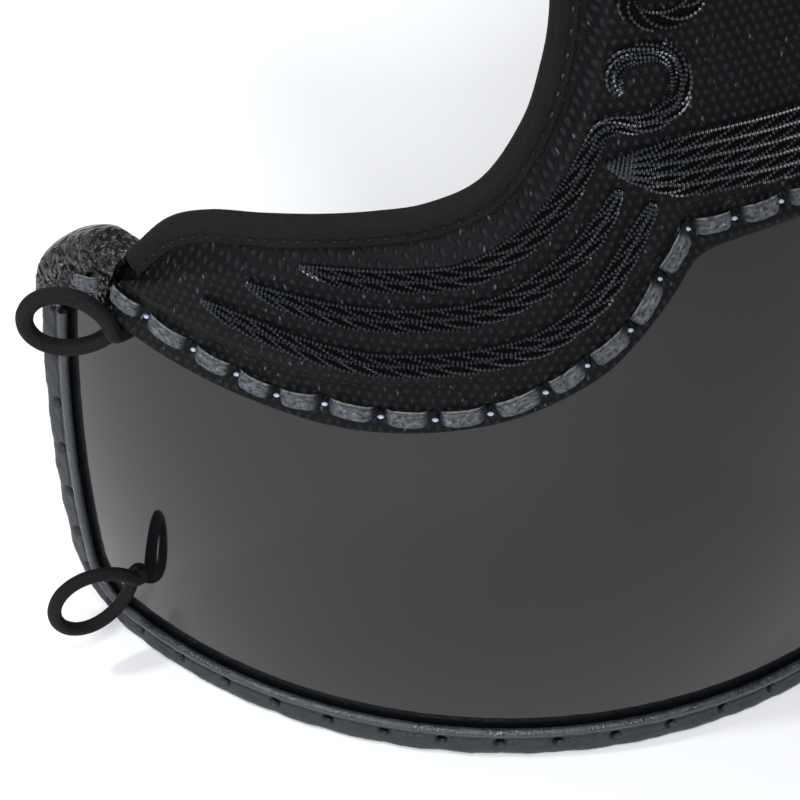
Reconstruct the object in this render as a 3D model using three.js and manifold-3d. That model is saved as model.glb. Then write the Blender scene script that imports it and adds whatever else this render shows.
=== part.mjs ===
// Kendo chest protector, standing on its own rim.
// A stiff resin body wraps the front and sides of the torso, a padded chest panel is laced over its top,
// leather binds the edges and corners, and rolled leather loops take the tying cords.
// Millimetres, +Z up, the front faces -Y, and the wearer stands on the +Y side.

import * as THREE from 'three';
import { mergeVertices } from 'three/addons/utils/BufferGeometryUtils.js';
import Module from 'manifold-3d';

const wasm = await Module();
wasm.setup();

// Body: plan, side reach and vertical bulge
const planRadius = 196;
const sideReach = 312;
const fullHeight = 452;
const bellyHeight = 50;
const bellyCurve = 540;
const straightFrom = 158;
const straightEase = 90;
const backwardLean = 0.055;
const shellWall = 3.5;
const cornerRadius = 28;

// Leather edge binding and the piping beside it
const bindingLeather = 2;
const bindingDepth = 10.5;
const pipingRadius = 1.7;
const bindingTop = 138;

// Padded chest panel and its edging
const panelEdge = 5;
const panelPad = 8;
const panelRim = 3;
const laceMargin = 15;
const laceMarginShare = 0.8;
const padSlope = 7;
const edgingWidth = 8;
const edgingCloth = 1.5;

// Corner leather, lace and raised embroidery
const cornerLeather = 3;
const laceWidth = 5;
const laceThickness = 1.3;
const laceInset = 9;
const cordHeight = 1.8;
const cloudWidth = 8;

// Rolled leather loops: where each one leaves the body, and the way it points
const sideLoop = { length: 29.5, width: 25, roll: 3, along: 0.867, up: 0.319 };
const sideLean = { out: 0.67, rear: 0.73, up: 0.11 };
const waistLoop = { length: 30.5, width: 28.5, roll: 2.6, along: 0.873, up: 0.086 };
const waistLean = { out: 0.91, rear: 0.35, up: -0.21 };
const chestLoop = { length: 31, width: 25, roll: 3, along: 0.314, up: 0.951 };
const chestLean = { out: 0.45, rear: 0.35, up: 0.82 };
const stemShare = 0.86;
const rootShare = 0.62;
const knotRadius = 6;
const knotThickness = 2.5;

// Running gap between pieces that touch
const gap = 0.4;

// Chest panel, from the centre line to the corner: points on its lower edge with their partners on the upper
const panelStations = [
  { low: 0, lowUp: 0.4445, top: 0, topUp: 0.96 },
  { low: 0.045, lowUp: 0.4445, top: 0.1, topUp: 0.965 },
  { low: 0.09, lowUp: 0.4445, top: 0.2, topUp: 0.98 },
  { low: 0.128, lowUp: 0.4443, top: 0.285, topUp: 0.995 },
  { low: 0.16, lowUp: 0.4438, top: 0.348, topUp: 0.996 },
  { low: 0.186, lowUp: 0.443, top: 0.384, topUp: 0.965 },
  { low: 0.207, lowUp: 0.4412, top: 0.38, topUp: 0.915 },
  { low: 0.224, lowUp: 0.4375, top: 0.362, topUp: 0.84 },
  { low: 0.237, lowUp: 0.43, top: 0.346, topUp: 0.755 },
  { low: 0.249, lowUp: 0.4185, top: 0.341, topUp: 0.675 },
  { low: 0.268, lowUp: 0.4025, top: 0.352, topUp: 0.608 },
  { low: 0.298, lowUp: 0.381, top: 0.371, topUp: 0.567 },
  { low: 0.331, lowUp: 0.362, top: 0.395, topUp: 0.535 },
  { low: 0.385, lowUp: 0.343, top: 0.44, topUp: 0.4995 },
  { low: 0.442, lowUp: 0.3293, top: 0.497, topUp: 0.481 },
  { low: 0.522, lowUp: 0.319, top: 0.552, topUp: 0.472 },
  { low: 0.6, lowUp: 0.3156, top: 0.61, topUp: 0.464 },
  { low: 0.69, lowUp: 0.3198, top: 0.675, topUp: 0.4555 },
  { low: 0.77, lowUp: 0.3255, top: 0.74, topUp: 0.446 },
  { low: 0.84, lowUp: 0.3325, top: 0.795, topUp: 0.428 },
  { low: 0.87, lowUp: 0.34, top: 0.846, topUp: 0.393 },
];

// Top edge of the resin body, hidden behind the chest panel and inside the corner leather
const bodyTop = [
  { along: 0, up: 0.553 },
  { along: 0.16, up: 0.55 },
  { along: 0.27, up: 0.535 },
  { along: 0.345, up: 0.508 },
  { along: 0.4, up: 0.478 },
  { along: 0.48, up: 0.455 },
  { along: 0.61, up: 0.44 },
  { along: 0.7, up: 0.426 },
  { along: 0.76, up: 0.4 },
  { along: 0.81, up: 0.374 },
  { along: 0.86, up: 0.371 },
  { along: 0.905, up: 0.367 },
  { along: 0.937, up: 0.352 },
  { along: 0.961, up: 0.333 },
];

// Corner leather: a point on its rounded outline and its partner on the lower edge of the wrap
const cornerStations = [
  { rim: 0.852, rimUp: 0.3875, low: 0.873, lowUp: 0.3465 },
  { rim: 0.874, rimUp: 0.3885, low: 0.888, lowUp: 0.3475 },
  { rim: 0.9, rimUp: 0.388, low: 0.902, lowUp: 0.348 },
  { rim: 0.927, rimUp: 0.381, low: 0.916, lowUp: 0.3475 },
  { rim: 0.952, rimUp: 0.371, low: 0.932, lowUp: 0.345 },
  { rim: 0.975, rimUp: 0.357, low: 0.947, lowUp: 0.3375 },
  { rim: 0.993, rimUp: 0.339, low: 0.958, lowUp: 0.326 },
  { rim: 1, rimUp: 0.309, low: 0.966, lowUp: 0.312 },
];

// Where the chest lace runs on over the corner leather
const laceEnd = [
  { along: 0.822, up: 0.358 },
  { along: 0.846, up: 0.3625 },
  { along: 0.87, up: 0.3637 },
  { along: 0.9, up: 0.359 },
  { along: 0.925, up: 0.351 },
];

// Raised cloud embroidery: centre lines, with the width as a share of cloudWidth
const cloudFingers = [
  [
    { along: 0.625, up: 0.438, width: 0.2 },
    { along: 0.603, up: 0.4354, width: 0.7 },
    { along: 0.573, up: 0.4356, width: 0.9 },
    { along: 0.514, up: 0.4387, width: 1 },
    { along: 0.456, up: 0.4465, width: 1 },
    { along: 0.407, up: 0.4663, width: 1 },
    { along: 0.377, up: 0.4845, width: 1 },
    { along: 0.354, up: 0.5016, width: 0.95 },
    { along: 0.336, up: 0.5216, width: 0.85 },
    { along: 0.322, up: 0.537, width: 0.75 },
    { along: 0.307, up: 0.5413, width: 0.75 },
    { along: 0.28, up: 0.5396, width: 0.75 },
    { along: 0.255, up: 0.5452, width: 0.85 },
    { along: 0.241, up: 0.5533, width: 0.9 },
    { along: 0.238, up: 0.5643, width: 0.9 },
    { along: 0.242, up: 0.576, width: 0.8 },
    { along: 0.256, up: 0.5835, width: 0.7 },
    { along: 0.275, up: 0.5848, width: 0.7 },
    { along: 0.293, up: 0.582, width: 0.75 },
    { along: 0.303, up: 0.574, width: 0.75 },
    { along: 0.302, up: 0.5655, width: 0.6 },
    { along: 0.297, up: 0.5605, width: 0.25 },
  ],
  [
    { along: 0.684, up: 0.4166, width: 0.2 },
    { along: 0.668, up: 0.4125, width: 0.6 },
    { along: 0.636, up: 0.4093, width: 0.9 },
    { along: 0.591, up: 0.4078, width: 1 },
    { along: 0.546, up: 0.4088, width: 1 },
    { along: 0.502, up: 0.412, width: 1 },
    { along: 0.459, up: 0.4172, width: 1 },
    { along: 0.42, up: 0.4265, width: 1 },
    { along: 0.381, up: 0.443, width: 1 },
    { along: 0.349, up: 0.46, width: 0.95 },
    { along: 0.325, up: 0.4795, width: 0.85 },
    { along: 0.312, up: 0.4936, width: 0.6 },
    { along: 0.308, up: 0.4993, width: 0.3 },
  ],
  [
    { along: 0.737, up: 0.393, width: 0.2 },
    { along: 0.713, up: 0.3881, width: 0.7 },
    { along: 0.681, up: 0.3844, width: 0.9 },
    { along: 0.649, up: 0.3808, width: 0.95 },
    { along: 0.603, up: 0.377, width: 1 },
    { along: 0.558, up: 0.376, width: 1 },
    { along: 0.513, up: 0.3788, width: 1 },
    { along: 0.471, up: 0.3831, width: 1 },
    { along: 0.427, up: 0.3895, width: 1 },
    { along: 0.394, up: 0.3968, width: 1 },
    { along: 0.364, up: 0.409, width: 1 },
    { along: 0.334, up: 0.4269, width: 1 },
    { along: 0.31, up: 0.449, width: 0.95 },
    { along: 0.291, up: 0.4695, width: 0.8 },
    { along: 0.28, up: 0.4815, width: 0.6 },
    { along: 0.275, up: 0.4882, width: 0.3 },
  ],
];
const cloudBand = [
  { along: 0.318, up: 0.517, width: 0.25 },
  { along: 0.29, up: 0.5125, width: 1.3 },
  { along: 0.25, up: 0.5085, width: 2.25 },
  { along: 0.2, up: 0.508, width: 2.45 },
  { along: 0.1, up: 0.5055, width: 2.65 },
];
const cloudScroll = [
  { along: 0.262, up: 0.632, width: 0.3 },
  { along: 0.276, up: 0.628, width: 0.6 },
  { along: 0.285, up: 0.617, width: 0.75 },
  { along: 0.28, up: 0.609, width: 0.75 },
  { along: 0.266, up: 0.6035, width: 0.75 },
  { along: 0.248, up: 0.602, width: 0.75 },
  { along: 0.23, up: 0.605, width: 0.75 },
  { along: 0.215, up: 0.613, width: 0.75 },
  { along: 0.205, up: 0.628, width: 0.75 },
  { along: 0.21, up: 0.648, width: 0.75 },
  { along: 0.235, up: 0.662, width: 0.75 },
  { along: 0.265, up: 0.672, width: 0.7 },
  { along: 0.288, up: 0.69, width: 0.2 },
];

const resin = { color: '#1b1c1e', roughness: 0.18, metalness: 0 };
const bindingFinish = { color: '#2b2c2e', roughness: 0.55, metalness: 0 };
const grainFinish = { color: '#1a1b1c', roughness: 0.4, metalness: 0 };
const clothFinish = { color: '#121416', roughness: 0.9, metalness: 0 };
const edgingFinish = { color: '#1c181a', roughness: 0.85, metalness: 0 };
const laceFinish = { color: '#4a4b4c', roughness: 0.5, metalness: 0 };
const cordFinish = { color: '#17191b', roughness: 0.6, metalness: 0 };
const loopFinish = { color: '#141214', roughness: 0.75, metalness: 0 };

// A place on the body: along the wrap from the front centre line, up from the floor, out from the shell face
function place(along, up, out) {
  return { along, up, out };
}

// Below straightFrom the wall bulges. Above it the wall draws in less and less, and slopes back instead.
function onBody({ along, up, out }) {
  const slope = (straightFrom - bellyHeight) / bellyCurve;
  const bulge = (Math.min(up, straightFrom) - bellyHeight) ** 2 / (2 * bellyCurve);
  const above = Math.max(up - straightFrom, 0);
  const eased = Math.min(above, straightEase);
  const drawnIn = slope * (eased - eased ** 2 / (2 * straightEase));
  const setBack = backwardLean * up + slope * above - drawnIn;
  const radius = planRadius - bulge - drawnIn + out;
  const turn = along / planRadius;
  return new THREE.Vector3(radius * Math.sin(turn), setBack - radius * Math.cos(turn), up);
}

// Smooth line through table rows, mirrored so that it runs from the +X side to the -X side
function mirroredCurve(points) {
  const mirrored = points.slice(1).map((p) => new THREE.Vector2(-p.x, p.y));
  return new THREE.SplineCurve([...points.slice().reverse(), ...mirrored]);
}

function rowPoint(alongShare, upShare) {
  return new THREE.Vector2(alongShare * sideReach, upShare * fullHeight);
}

function signedVolume(positions, index) {
  const [a, b, c] = [new THREE.Vector3(), new THREE.Vector3(), new THREE.Vector3()];
  let volume = 0;
  for (let i = 0; i < index.length; i += 3) {
    a.fromArray(positions, 3 * index[i]);
    b.fromArray(positions, 3 * index[i + 1]);
    c.fromArray(positions, 3 * index[i + 2]);
    volume += a.dot(b.cross(c)) / 6;
  }
  return volume;
}

function closedGeometry(points, index) {
  const positions = points.flatMap((p) => [p.x, p.y, p.z]);
  const outward = signedVolume(positions, index) > 0 ? index : index.slice().reverse();
  const geometry = new THREE.BufferGeometry();
  geometry.setAttribute('position', new THREE.Float32BufferAttribute(positions, 3));
  geometry.setIndex(outward);
  return geometry;
}

// Faces between neighbouring rings, each four-sided patch split along its shorter diagonal
function sideFaces(points, ringSize, closed) {
  const faces = [];
  const ringCount = points.length / ringSize;
  const spans = closed ? ringCount : ringCount - 1;
  for (let i = 0; i < spans; i++) {
    const here = i * ringSize;
    const next = ((i + 1) % ringCount) * ringSize;
    for (let j = 0; j < ringSize; j++) {
      const k = (j + 1) % ringSize;
      const [a, b, c, d] = [here + j, here + k, next + k, next + j];
      if (points[a].distanceTo(points[c]) <= points[b].distanceTo(points[d])) {
        faces.push(a, b, c, a, c, d);
      } else {
        faces.push(a, b, d, b, c, d);
      }
    }
  }
  return faces;
}

// Faces that close one end of a loft, triangulated by depth and distance out
function endFaces(ring, first, inRingOrder) {
  const start = new THREE.Vector2(ring[0].along, ring[0].up);
  const spans = ring.map((p) => new THREE.Vector2(p.along, p.up).sub(start));
  const far = spans.reduce((best, p) => (p.length() > best.length() ? p : best)).clone().normalize();
  const outline = ring.map((p, i) => new THREE.Vector2(spans[i].dot(far), p.out));
  const triangles = THREE.ShapeUtils.triangulateShape(outline, []);
  const turn = THREE.ShapeUtils.area(triangles[0].map((i) => outline[i]));
  const followsRing = turn * THREE.ShapeUtils.area(outline) > 0;
  const faces = triangles.flat().map((i) => first + i);
  return followsRing === inRingOrder ? faces : faces.reverse();
}

// A closed body through rings of places on the body
function loft(rings) {
  const size = rings[0].length;
  const points = rings.flat().map(onBody);
  const startCap = endFaces(rings[0], 0, false);
  const endCap = endFaces(rings.at(-1), (rings.length - 1) * size, true);
  return closedGeometry(points, [...sideFaces(points, size, false), ...startCap, ...endCap]);
}

// Sweeps a section along a line on the body, its points given by depth in from the line and distance out
function sweepInward(line, section, inwardIsLeft) {
  const side = inwardIsLeft ? 1 : -1;
  const rings = line.map((point, i) => {
    const before = line[Math.max(i - 1, 0)];
    const after = line[Math.min(i + 1, line.length - 1)];
    const run = after.clone().sub(before).normalize();
    const inward = new THREE.Vector2(-run.y, run.x).multiplyScalar(side);
    return section.map(({ depth, out }) => {
      const at = point.clone().addScaledVector(inward, depth);
      return place(at.x, at.y, out);
    });
  });
  return loft(rings);
}

function toSolid(geometry) {
  const bare = geometry.clone();
  bare.deleteAttribute('normal');
  bare.deleteAttribute('uv');
  const merged = mergeVertices(bare, 1e-5);
  return new wasm.Manifold(
    new wasm.Mesh({
      numProp: 3,
      vertProperties: new Float32Array(merged.attributes.position.array),
      triVerts: new Uint32Array(merged.index.array),
    }),
  );
}

function fromSolid(solid) {
  const { vertProperties, triVerts } = solid.getMesh();
  const geometry = new THREE.BufferGeometry();
  geometry.setAttribute('position', new THREE.BufferAttribute(new Float32Array(vertProperties), 3));
  geometry.setIndex(new THREE.BufferAttribute(new Uint32Array(triVerts), 1));
  return geometry;
}

function mirrored(geometry) {
  const copy = geometry.clone();
  copy.scale(-1, 1, 1);
  copy.setIndex(Array.from(copy.index.array).reverse());
  return copy;
}

const group = new THREE.Group();

function addPiece(name, geometry, finish) {
  const mesh = new THREE.Mesh(geometry, new THREE.MeshStandardMaterial(finish));
  mesh.name = name;
  group.add(mesh);
}

function addPair(name, geometry, finish) {
  addPiece(`${name}_right`, geometry, finish);
  addPiece(`${name}_left`, mirrored(geometry), finish);
}

// Rim of the body: down one side, round the corner, along the floor, and up the other side
function rimLine() {
  const line = [];
  const sideSteps = 6;
  const cornerSteps = 5;
  const floorSteps = 42;
  const straightEnd = sideReach - cornerRadius;
  for (let i = 0; i < sideSteps; i++) {
    const up = THREE.MathUtils.lerp(bindingTop, cornerRadius, i / sideSteps);
    line.push(new THREE.Vector2(sideReach, up));
  }
  for (let i = 0; i < cornerSteps; i++) {
    const angle = (i / cornerSteps) * (Math.PI / 2);
    const along = straightEnd + cornerRadius * Math.cos(angle);
    line.push(new THREE.Vector2(along, cornerRadius * (1 - Math.sin(angle))));
  }
  for (let i = 0; i <= floorSteps / 2; i++) {
    line.push(new THREE.Vector2(straightEnd * (1 - (2 * i) / floorSteps), 0));
  }
  const otherSide = line.slice(0, -1).reverse().map((p) => new THREE.Vector2(-p.x, p.y));
  return [...line, ...otherSide];
}

// Hole that lets a loop's stem through the wall
function stemHole(loop) {
  const radius = loop.roll * stemShare + gap;
  const reach = shellWall + panelPad + loop.width / 2;
  const { origin, normal } = loopFrame(loop);
  return toSolid(cylinderAlong(origin, normal, radius, -reach, reach));
}

function cylinderAlong(origin, axis, radius, from, to) {
  const geometry = new THREE.CylinderGeometry(radius, radius, to - from, 12);
  const turn = new THREE.Quaternion().setFromUnitVectors(new THREE.Vector3(0, 1, 0), axis);
  geometry.applyQuaternion(turn);
  const middle = origin.clone().addScaledVector(axis, (from + to) / 2);
  geometry.translate(middle.x, middle.y, middle.z);
  return geometry;
}

// Where a loop leaves the wall: square to it, level and outward, and level towards the wearer's back
function loopFrame(loop) {
  const at = rowPoint(loop.along, loop.up);
  const turn = at.x / planRadius;
  const origin = onBody(place(at.x, at.y, 0));
  const alongWall = onBody(place(at.x + gap, at.y, 0)).sub(origin);
  const upWall = onBody(place(at.x, at.y + gap, 0)).sub(origin);
  return {
    origin,
    normal: alongWall.cross(upWall).normalize(),
    outward: new THREE.Vector3(Math.sin(turn), -Math.cos(turn), 0),
    rearward: new THREE.Vector3(Math.cos(turn), Math.sin(turn), 0),
  };
}

// Height of a line at a distance along the wrap
function heightAt(samples, along) {
  const found = samples.findIndex((p, i) => i > 0 && p.x <= along);
  const last = found < 0 ? samples.length - 1 : found;
  const [a, b] = [samples[last - 1], samples[last]];
  return THREE.MathUtils.mapLinear(along, a.x, b.x, a.y, b.y);
}

// Resin body: a bulged sheet bent round the torso
function bodyShell() {
  const clear = bindingLeather + gap;
  const reach = sideReach - clear;
  const radius = cornerRadius - clear;
  const straightEnd = reach - radius;
  const topPoints = bodyTop.map((row) => rowPoint(row.along, row.up));
  topPoints.push(new THREE.Vector2(reach, bindingTop - bindingDepth / 2));
  const top = mirroredCurve(topPoints).getPoints(200);
  const cornerSteps = 4;
  const floorSteps = 40;
  const rows = 7;
  const half = [];
  for (let i = 0; i < cornerSteps; i++) {
    half.push(straightEnd + radius * Math.cos((i / cornerSteps) * (Math.PI / 2)));
  }
  for (let i = 0; i < floorSteps / 2; i++) {
    half.push(straightEnd * (1 - (2 * i) / floorSteps));
  }
  const columns = [...half, 0, ...half.map((along) => -along).reverse()];
  const rings = columns.map((along) => {
    const pastStraight = Math.max(Math.abs(along) - straightEnd, 0);
    const low = clear + radius - Math.sqrt(Math.max(radius ** 2 - pastStraight ** 2, 0));
    const high = heightAt(top, along);
    const heights = [];
    for (let j = 0; j <= rows; j++) {
      heights.push(THREE.MathUtils.lerp(low, high, j / rows));
    }
    const front = heights.map((up) => place(along, up, 0));
    const back = heights.map((up) => place(along, up, -shellWall)).reverse();
    return [...front, ...back];
  });
  let solid = toSolid(loft(rings));
  for (const hole of [sideLoop, waistLoop].map(stemHole)) {
    solid = solid.subtract(hole).subtract(hole.mirror([1, 0, 0]));
  }
  return fromSolid(solid);
}

// Leather folded over the rim, and the round piping that trims it
function edgeBinding(line) {
  const faceOut = gap + bindingLeather;
  const backOut = -shellWall - gap - bindingLeather;
  const soft = bindingLeather / 2;
  return sweepInward(line, [
    { depth: 0, out: backOut + soft },
    { depth: 0, out: faceOut - soft },
    { depth: soft, out: faceOut },
    { depth: bindingDepth, out: faceOut },
    { depth: bindingDepth, out: gap },
    { depth: bindingLeather, out: gap },
    { depth: bindingLeather, out: -shellWall - gap },
    { depth: bindingDepth, out: -shellWall - gap },
    { depth: bindingDepth, out: backOut },
    { depth: soft, out: backOut },
  ], false);
}

function edgePiping(line) {
  const sides = 6;
  const section = [];
  for (let i = 0; i < sides; i++) {
    const angle = ((i + 0.5) / sides) * 2 * Math.PI;
    section.push({
      depth: bindingDepth + gap + pipingRadius * (1 + Math.cos(angle)),
      out: gap + pipingRadius * (1 + Math.sin(angle)),
    });
  }
  return sweepInward(line, section, false);
}

const lowerEdge = mirroredCurve(panelStations.map((row) => rowPoint(row.low, row.lowUp)));
const upperEdge = mirroredCurve(panelStations.map((row) => rowPoint(row.top, row.topUp)));
const panelSteps = 52;

// Chest panel: flat and thin along its laced lower edge, padded above
function chestPanel() {
  const edgeClear = edgingCloth + gap;
  const topBand = edgingWidth + gap;
  const rings = [];
  for (let i = 0; i <= panelSteps; i++) {
    const low = lowerEdge.getPoint(i / panelSteps);
    const top = upperEdge.getPoint(i / panelSteps);
    const run = upperEdge.getTangent(i / panelSteps);
    const inward = new THREE.Vector2(-run.y, run.x);
    const rim = top.clone().addScaledVector(inward, edgeClear);
    const room = low.distanceTo(top) - topBand;
    const flat = Math.min(laceMargin, room * laceMarginShare);
    const slope = Math.min(padSlope, (room - flat) / 3);
    const padOut = THREE.MathUtils.lerp(panelEdge, panelPad, slope / padSlope);
    const bandEdge = top.clone().addScaledVector(inward, topBand);
    const bandFoot = top.clone().addScaledVector(inward, topBand + slope);
    const rise = rim.clone().sub(low).normalize();
    const margin = low.clone().addScaledVector(rise, flat);
    const padFoot = low.clone().addScaledVector(rise, flat + slope);
    const thirds = [1 / 3, 2 / 3].map((share) => padFoot.clone().lerp(bandFoot, share));
    const line = [low, margin, padFoot, ...thirds, bandFoot, bandEdge, rim];
    const outs = [panelEdge, panelEdge, padOut, padOut, padOut, padOut, panelRim, panelRim];
    const front = line.map((p, j) => place(p.x, p.y, gap + outs[j]));
    const back = line.map((p) => place(p.x, p.y, gap)).reverse();
    rings.push([...front, ...back]);
  }
  let solid = toSolid(loft(rings));
  const hole = stemHole(chestLoop);
  solid = solid.subtract(hole).subtract(hole.mirror([1, 0, 0]));
  return fromSolid(solid);
}

// Cloth edging folded over the armholes and the neckline
function panelEdging() {
  const face = gap + panelRim;
  const line = upperEdge.getPoints(panelSteps);
  return sweepInward(line, [
    { depth: 0, out: -edgingCloth },
    { depth: 0, out: face + gap + edgingCloth },
    { depth: edgingWidth, out: face + gap + edgingCloth },
    { depth: edgingWidth, out: face + gap },
    { depth: edgingCloth, out: face + gap },
    { depth: edgingCloth, out: 0 },
    { depth: edgingWidth, out: 0 },
    { depth: edgingWidth, out: -edgingCloth },
  ], true);
}

// Corner leather: a thick fold over the top corner of the body, closed round the corner
function cornerWrap() {
  const rimCurve = new THREE.SplineCurve(cornerStations.map((row) => rowPoint(row.rim, row.rimUp)));
  const lowCurve = new THREE.SplineCurve(cornerStations.map((row) => rowPoint(row.low, row.lowUp)));
  const steps = 12;
  const face = gap + panelEdge;
  const back = -shellWall - gap;
  const rings = [];
  for (let i = 0; i <= steps; i++) {
    const rim = rimCurve.getPoint(i / steps);
    const low = lowCurve.getPoint(i / steps);
    const inward = low.clone().sub(rim);
    const depthAll = inward.length();
    inward.normalize();
    const at = (depth, out) => place(rim.x + inward.x * depth, rim.y + inward.y * depth, out);
    rings.push([
      at(0, back - cornerLeather / 2),
      at(0, face - cornerLeather / 2),
      at(cornerLeather, face + gap),
      at(depthAll / 2, face),
      at(depthAll, face - cornerLeather / 2),
      at(depthAll, gap),
      at(cornerLeather, gap),
      at(cornerLeather, back),
      at(depthAll, back),
      at(depthAll, back - cornerLeather),
      at(cornerLeather, back - cornerLeather),
    ]);
  }
  return loft(rings);
}

// Flat lace that ties the chest panel to the body, running along the hole line from corner to corner
function chestLace() {
  const steps = 52;
  const holes = [];
  for (let i = 1; i < steps; i++) {
    const share = i / steps;
    const low = lowerEdge.getPoint(share);
    const run = lowerEdge.getTangent(share);
    holes.push(low.addScaledVector(new THREE.Vector2(run.y, -run.x), laceInset));
  }
  const reach = laceEnd[0].along * sideReach - laceWidth;
  const middle = holes.filter((p) => Math.abs(p.x) < reach);
  const start = laceEnd.map((row) => rowPoint(row.along, row.up)).reverse();
  const finish = start.map((p) => new THREE.Vector2(-p.x, p.y)).reverse();
  const line = [...start, ...middle, ...finish];
  const seat = 2 * gap + panelEdge;
  return sweepInward(line, [
    { depth: -laceWidth / 2, out: seat },
    { depth: -laceWidth / 2, out: seat + laceThickness },
    { depth: laceWidth / 2, out: seat + laceThickness },
    { depth: laceWidth / 2, out: seat },
  ], false);
}

// Raised band of couched cord on the padded face
function cloudShape(rows, steps) {
  const line = new THREE.SplineCurve(rows.map((row) => rowPoint(row.along, row.up)));
  const widths = rows.map((row) => row.width);
  const seat = 2 * gap + panelPad;
  const crownShare = 0.4;
  const rings = [];
  for (let i = 0; i <= steps; i++) {
    const share = i / steps;
    const point = line.getPoint(share);
    const run = line.getTangent(share);
    const across = new THREE.Vector2(-run.y, run.x);
    const rowShare = share * (widths.length - 1);
    const row = Math.min(Math.floor(rowShare), widths.length - 2);
    const width = cloudWidth * THREE.MathUtils.lerp(widths[row], widths[row + 1], rowShare - row);
    const at = (side, out) => place(point.x + across.x * side, point.y + across.y * side, seat + out);
    rings.push([
      at(-width / 2, 0),
      at(-width * crownShare, cordHeight),
      at(width * crownShare, cordHeight),
      at(width / 2, 0),
    ]);
  }
  return loft(rings);
}

// Rolled leather loop: a drop-shaped ring, its stem through the wall and the knot that stops it inside
function leatherLoop(loop, lean, seatOut, inside) {
  const { origin, normal, outward, rearward } = loopFrame(loop);
  const heading = new THREE.Vector3(0, 0, lean.up)
    .addScaledVector(outward, lean.out)
    .addScaledVector(rearward, lean.rear)
    .normalize();
  const spread = lean.up > lean.out ? rearward : new THREE.Vector3(0, 0, 1);
  const rise = spread.clone().addScaledVector(heading, -heading.dot(spread)).normalize();
  const across = heading.clone().cross(rise);
  const stemFoot = seatOut + gap + loop.roll;
  const foot = origin.clone().addScaledVector(normal, stemFoot);
  const steps = 20;
  const sides = 8;
  const centre = (angle) => {
    const forward = (loop.length / 2) * (1 - Math.cos(angle));
    const taper = rootShare + (1 - rootShare) * Math.sin(angle / 2);
    const side = (loop.width / 2) * Math.sin(angle) * taper;
    return foot.clone().addScaledVector(heading, forward).addScaledVector(rise, side);
  };
  const points = [];
  for (let i = 0; i < steps; i++) {
    const angle = (i / steps) * 2 * Math.PI;
    const step = Math.PI / steps;
    const here = centre(angle);
    const run = centre(angle + step).sub(centre(angle - step)).normalize();
    const side = run.clone().cross(across);
    for (let j = 0; j < sides; j++) {
      const round = (j / sides) * 2 * Math.PI;
      points.push(here.clone()
        .addScaledVector(side, loop.roll * Math.cos(round))
        .addScaledVector(across, loop.roll * Math.sin(round)));
    }
  }
  const ring = toSolid(closedGeometry(points, sideFaces(points, sides, true)));
  const stemRadius = loop.roll * stemShare;
  const stem = toSolid(cylinderAlong(origin, normal, stemRadius, inside - knotThickness / 2, stemFoot));
  const knot = toSolid(cylinderAlong(origin, normal, knotRadius, inside - knotThickness, inside));
  return fromSolid(ring.add(stem).add(knot));
}

const rim = rimLine();
addPiece('body_shell', bodyShell(), resin);
addPiece('edge_binding', edgeBinding(rim), bindingFinish);
addPiece('edge_piping', edgePiping(rim), bindingFinish);
addPiece('chest_panel', chestPanel(), clothFinish);
addPiece('panel_edging', panelEdging(), edgingFinish);
addPair('corner_leather', cornerWrap(), grainFinish);
addPiece('chest_lace', chestLace(), laceFinish);
cloudFingers.forEach((rows, i) => {
  addPair(`cloud_finger_${i + 1}`, cloudShape(rows, rows.length + 1), cordFinish);
});
const otherHalf = cloudBand.map((row) => ({ ...row, along: -row.along })).reverse();
addPiece('cloud_band', cloudShape([...cloudBand, ...otherHalf], 24), cordFinish);
addPair('cloud_scroll', cloudShape(cloudScroll, 16), cordFinish);
addPair('side_loop', leatherLoop(sideLoop, sideLean, 0, -shellWall - gap), loopFinish);
addPair('waist_loop', leatherLoop(waistLoop, waistLean, 0, -shellWall - gap), loopFinish);
addPair('chest_loop', leatherLoop(chestLoop, chestLean, gap + panelPad, 0), loopFinish);

// Stand the part over its origin: centred in plan, with its rim on the floor
const box = new THREE.Box3().setFromObject(group);
const middle = box.getCenter(new THREE.Vector3());
group.position.set(-middle.x, -middle.y, -box.min.z);

export default group;
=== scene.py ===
import math

import bmesh
import bpy
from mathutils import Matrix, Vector, noise


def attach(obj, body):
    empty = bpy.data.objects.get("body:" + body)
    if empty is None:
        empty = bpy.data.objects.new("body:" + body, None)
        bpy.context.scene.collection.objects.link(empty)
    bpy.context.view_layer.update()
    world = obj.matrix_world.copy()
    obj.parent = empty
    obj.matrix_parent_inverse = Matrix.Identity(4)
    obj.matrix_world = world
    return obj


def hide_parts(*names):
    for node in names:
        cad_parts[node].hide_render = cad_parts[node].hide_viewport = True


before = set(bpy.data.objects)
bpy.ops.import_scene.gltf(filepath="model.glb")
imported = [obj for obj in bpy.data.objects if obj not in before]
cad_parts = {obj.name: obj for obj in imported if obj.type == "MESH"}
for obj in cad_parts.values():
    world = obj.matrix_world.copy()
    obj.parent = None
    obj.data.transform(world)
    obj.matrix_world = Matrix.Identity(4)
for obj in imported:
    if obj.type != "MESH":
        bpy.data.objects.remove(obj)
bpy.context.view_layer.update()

scene = bpy.context.scene
scene.view_settings.view_transform = "Standard"

# Studio.
# A pale matt table under a broad soft light on the viewer's left, with small lamps that draw the glints and
# a dim room. The camera looks down on the protector's left side from above, as in the photograph.


def add_to_scene(name, data):
    made = bpy.data.objects.new(name, data)
    scene.collection.objects.link(made)
    return made


def direction_back(azimuth, elevation):
    level = math.cos(elevation)
    return Vector((-math.sin(azimuth) * level, -math.cos(azimuth) * level, math.sin(elevation)))


camera = add_to_scene("camera", bpy.data.cameras.new("camera"))
camera.data.sensor_width = 36
camera.data.lens = 87.38
towards_camera = direction_back(math.radians(38.689), math.radians(43.616))
camera.location = Vector((-0.10575, 0.02145, 0.1)) + 0.66125 * towards_camera
camera.rotation_euler = towards_camera.to_track_quat("Z", "Y").to_euler()
scene.camera = camera


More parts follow.
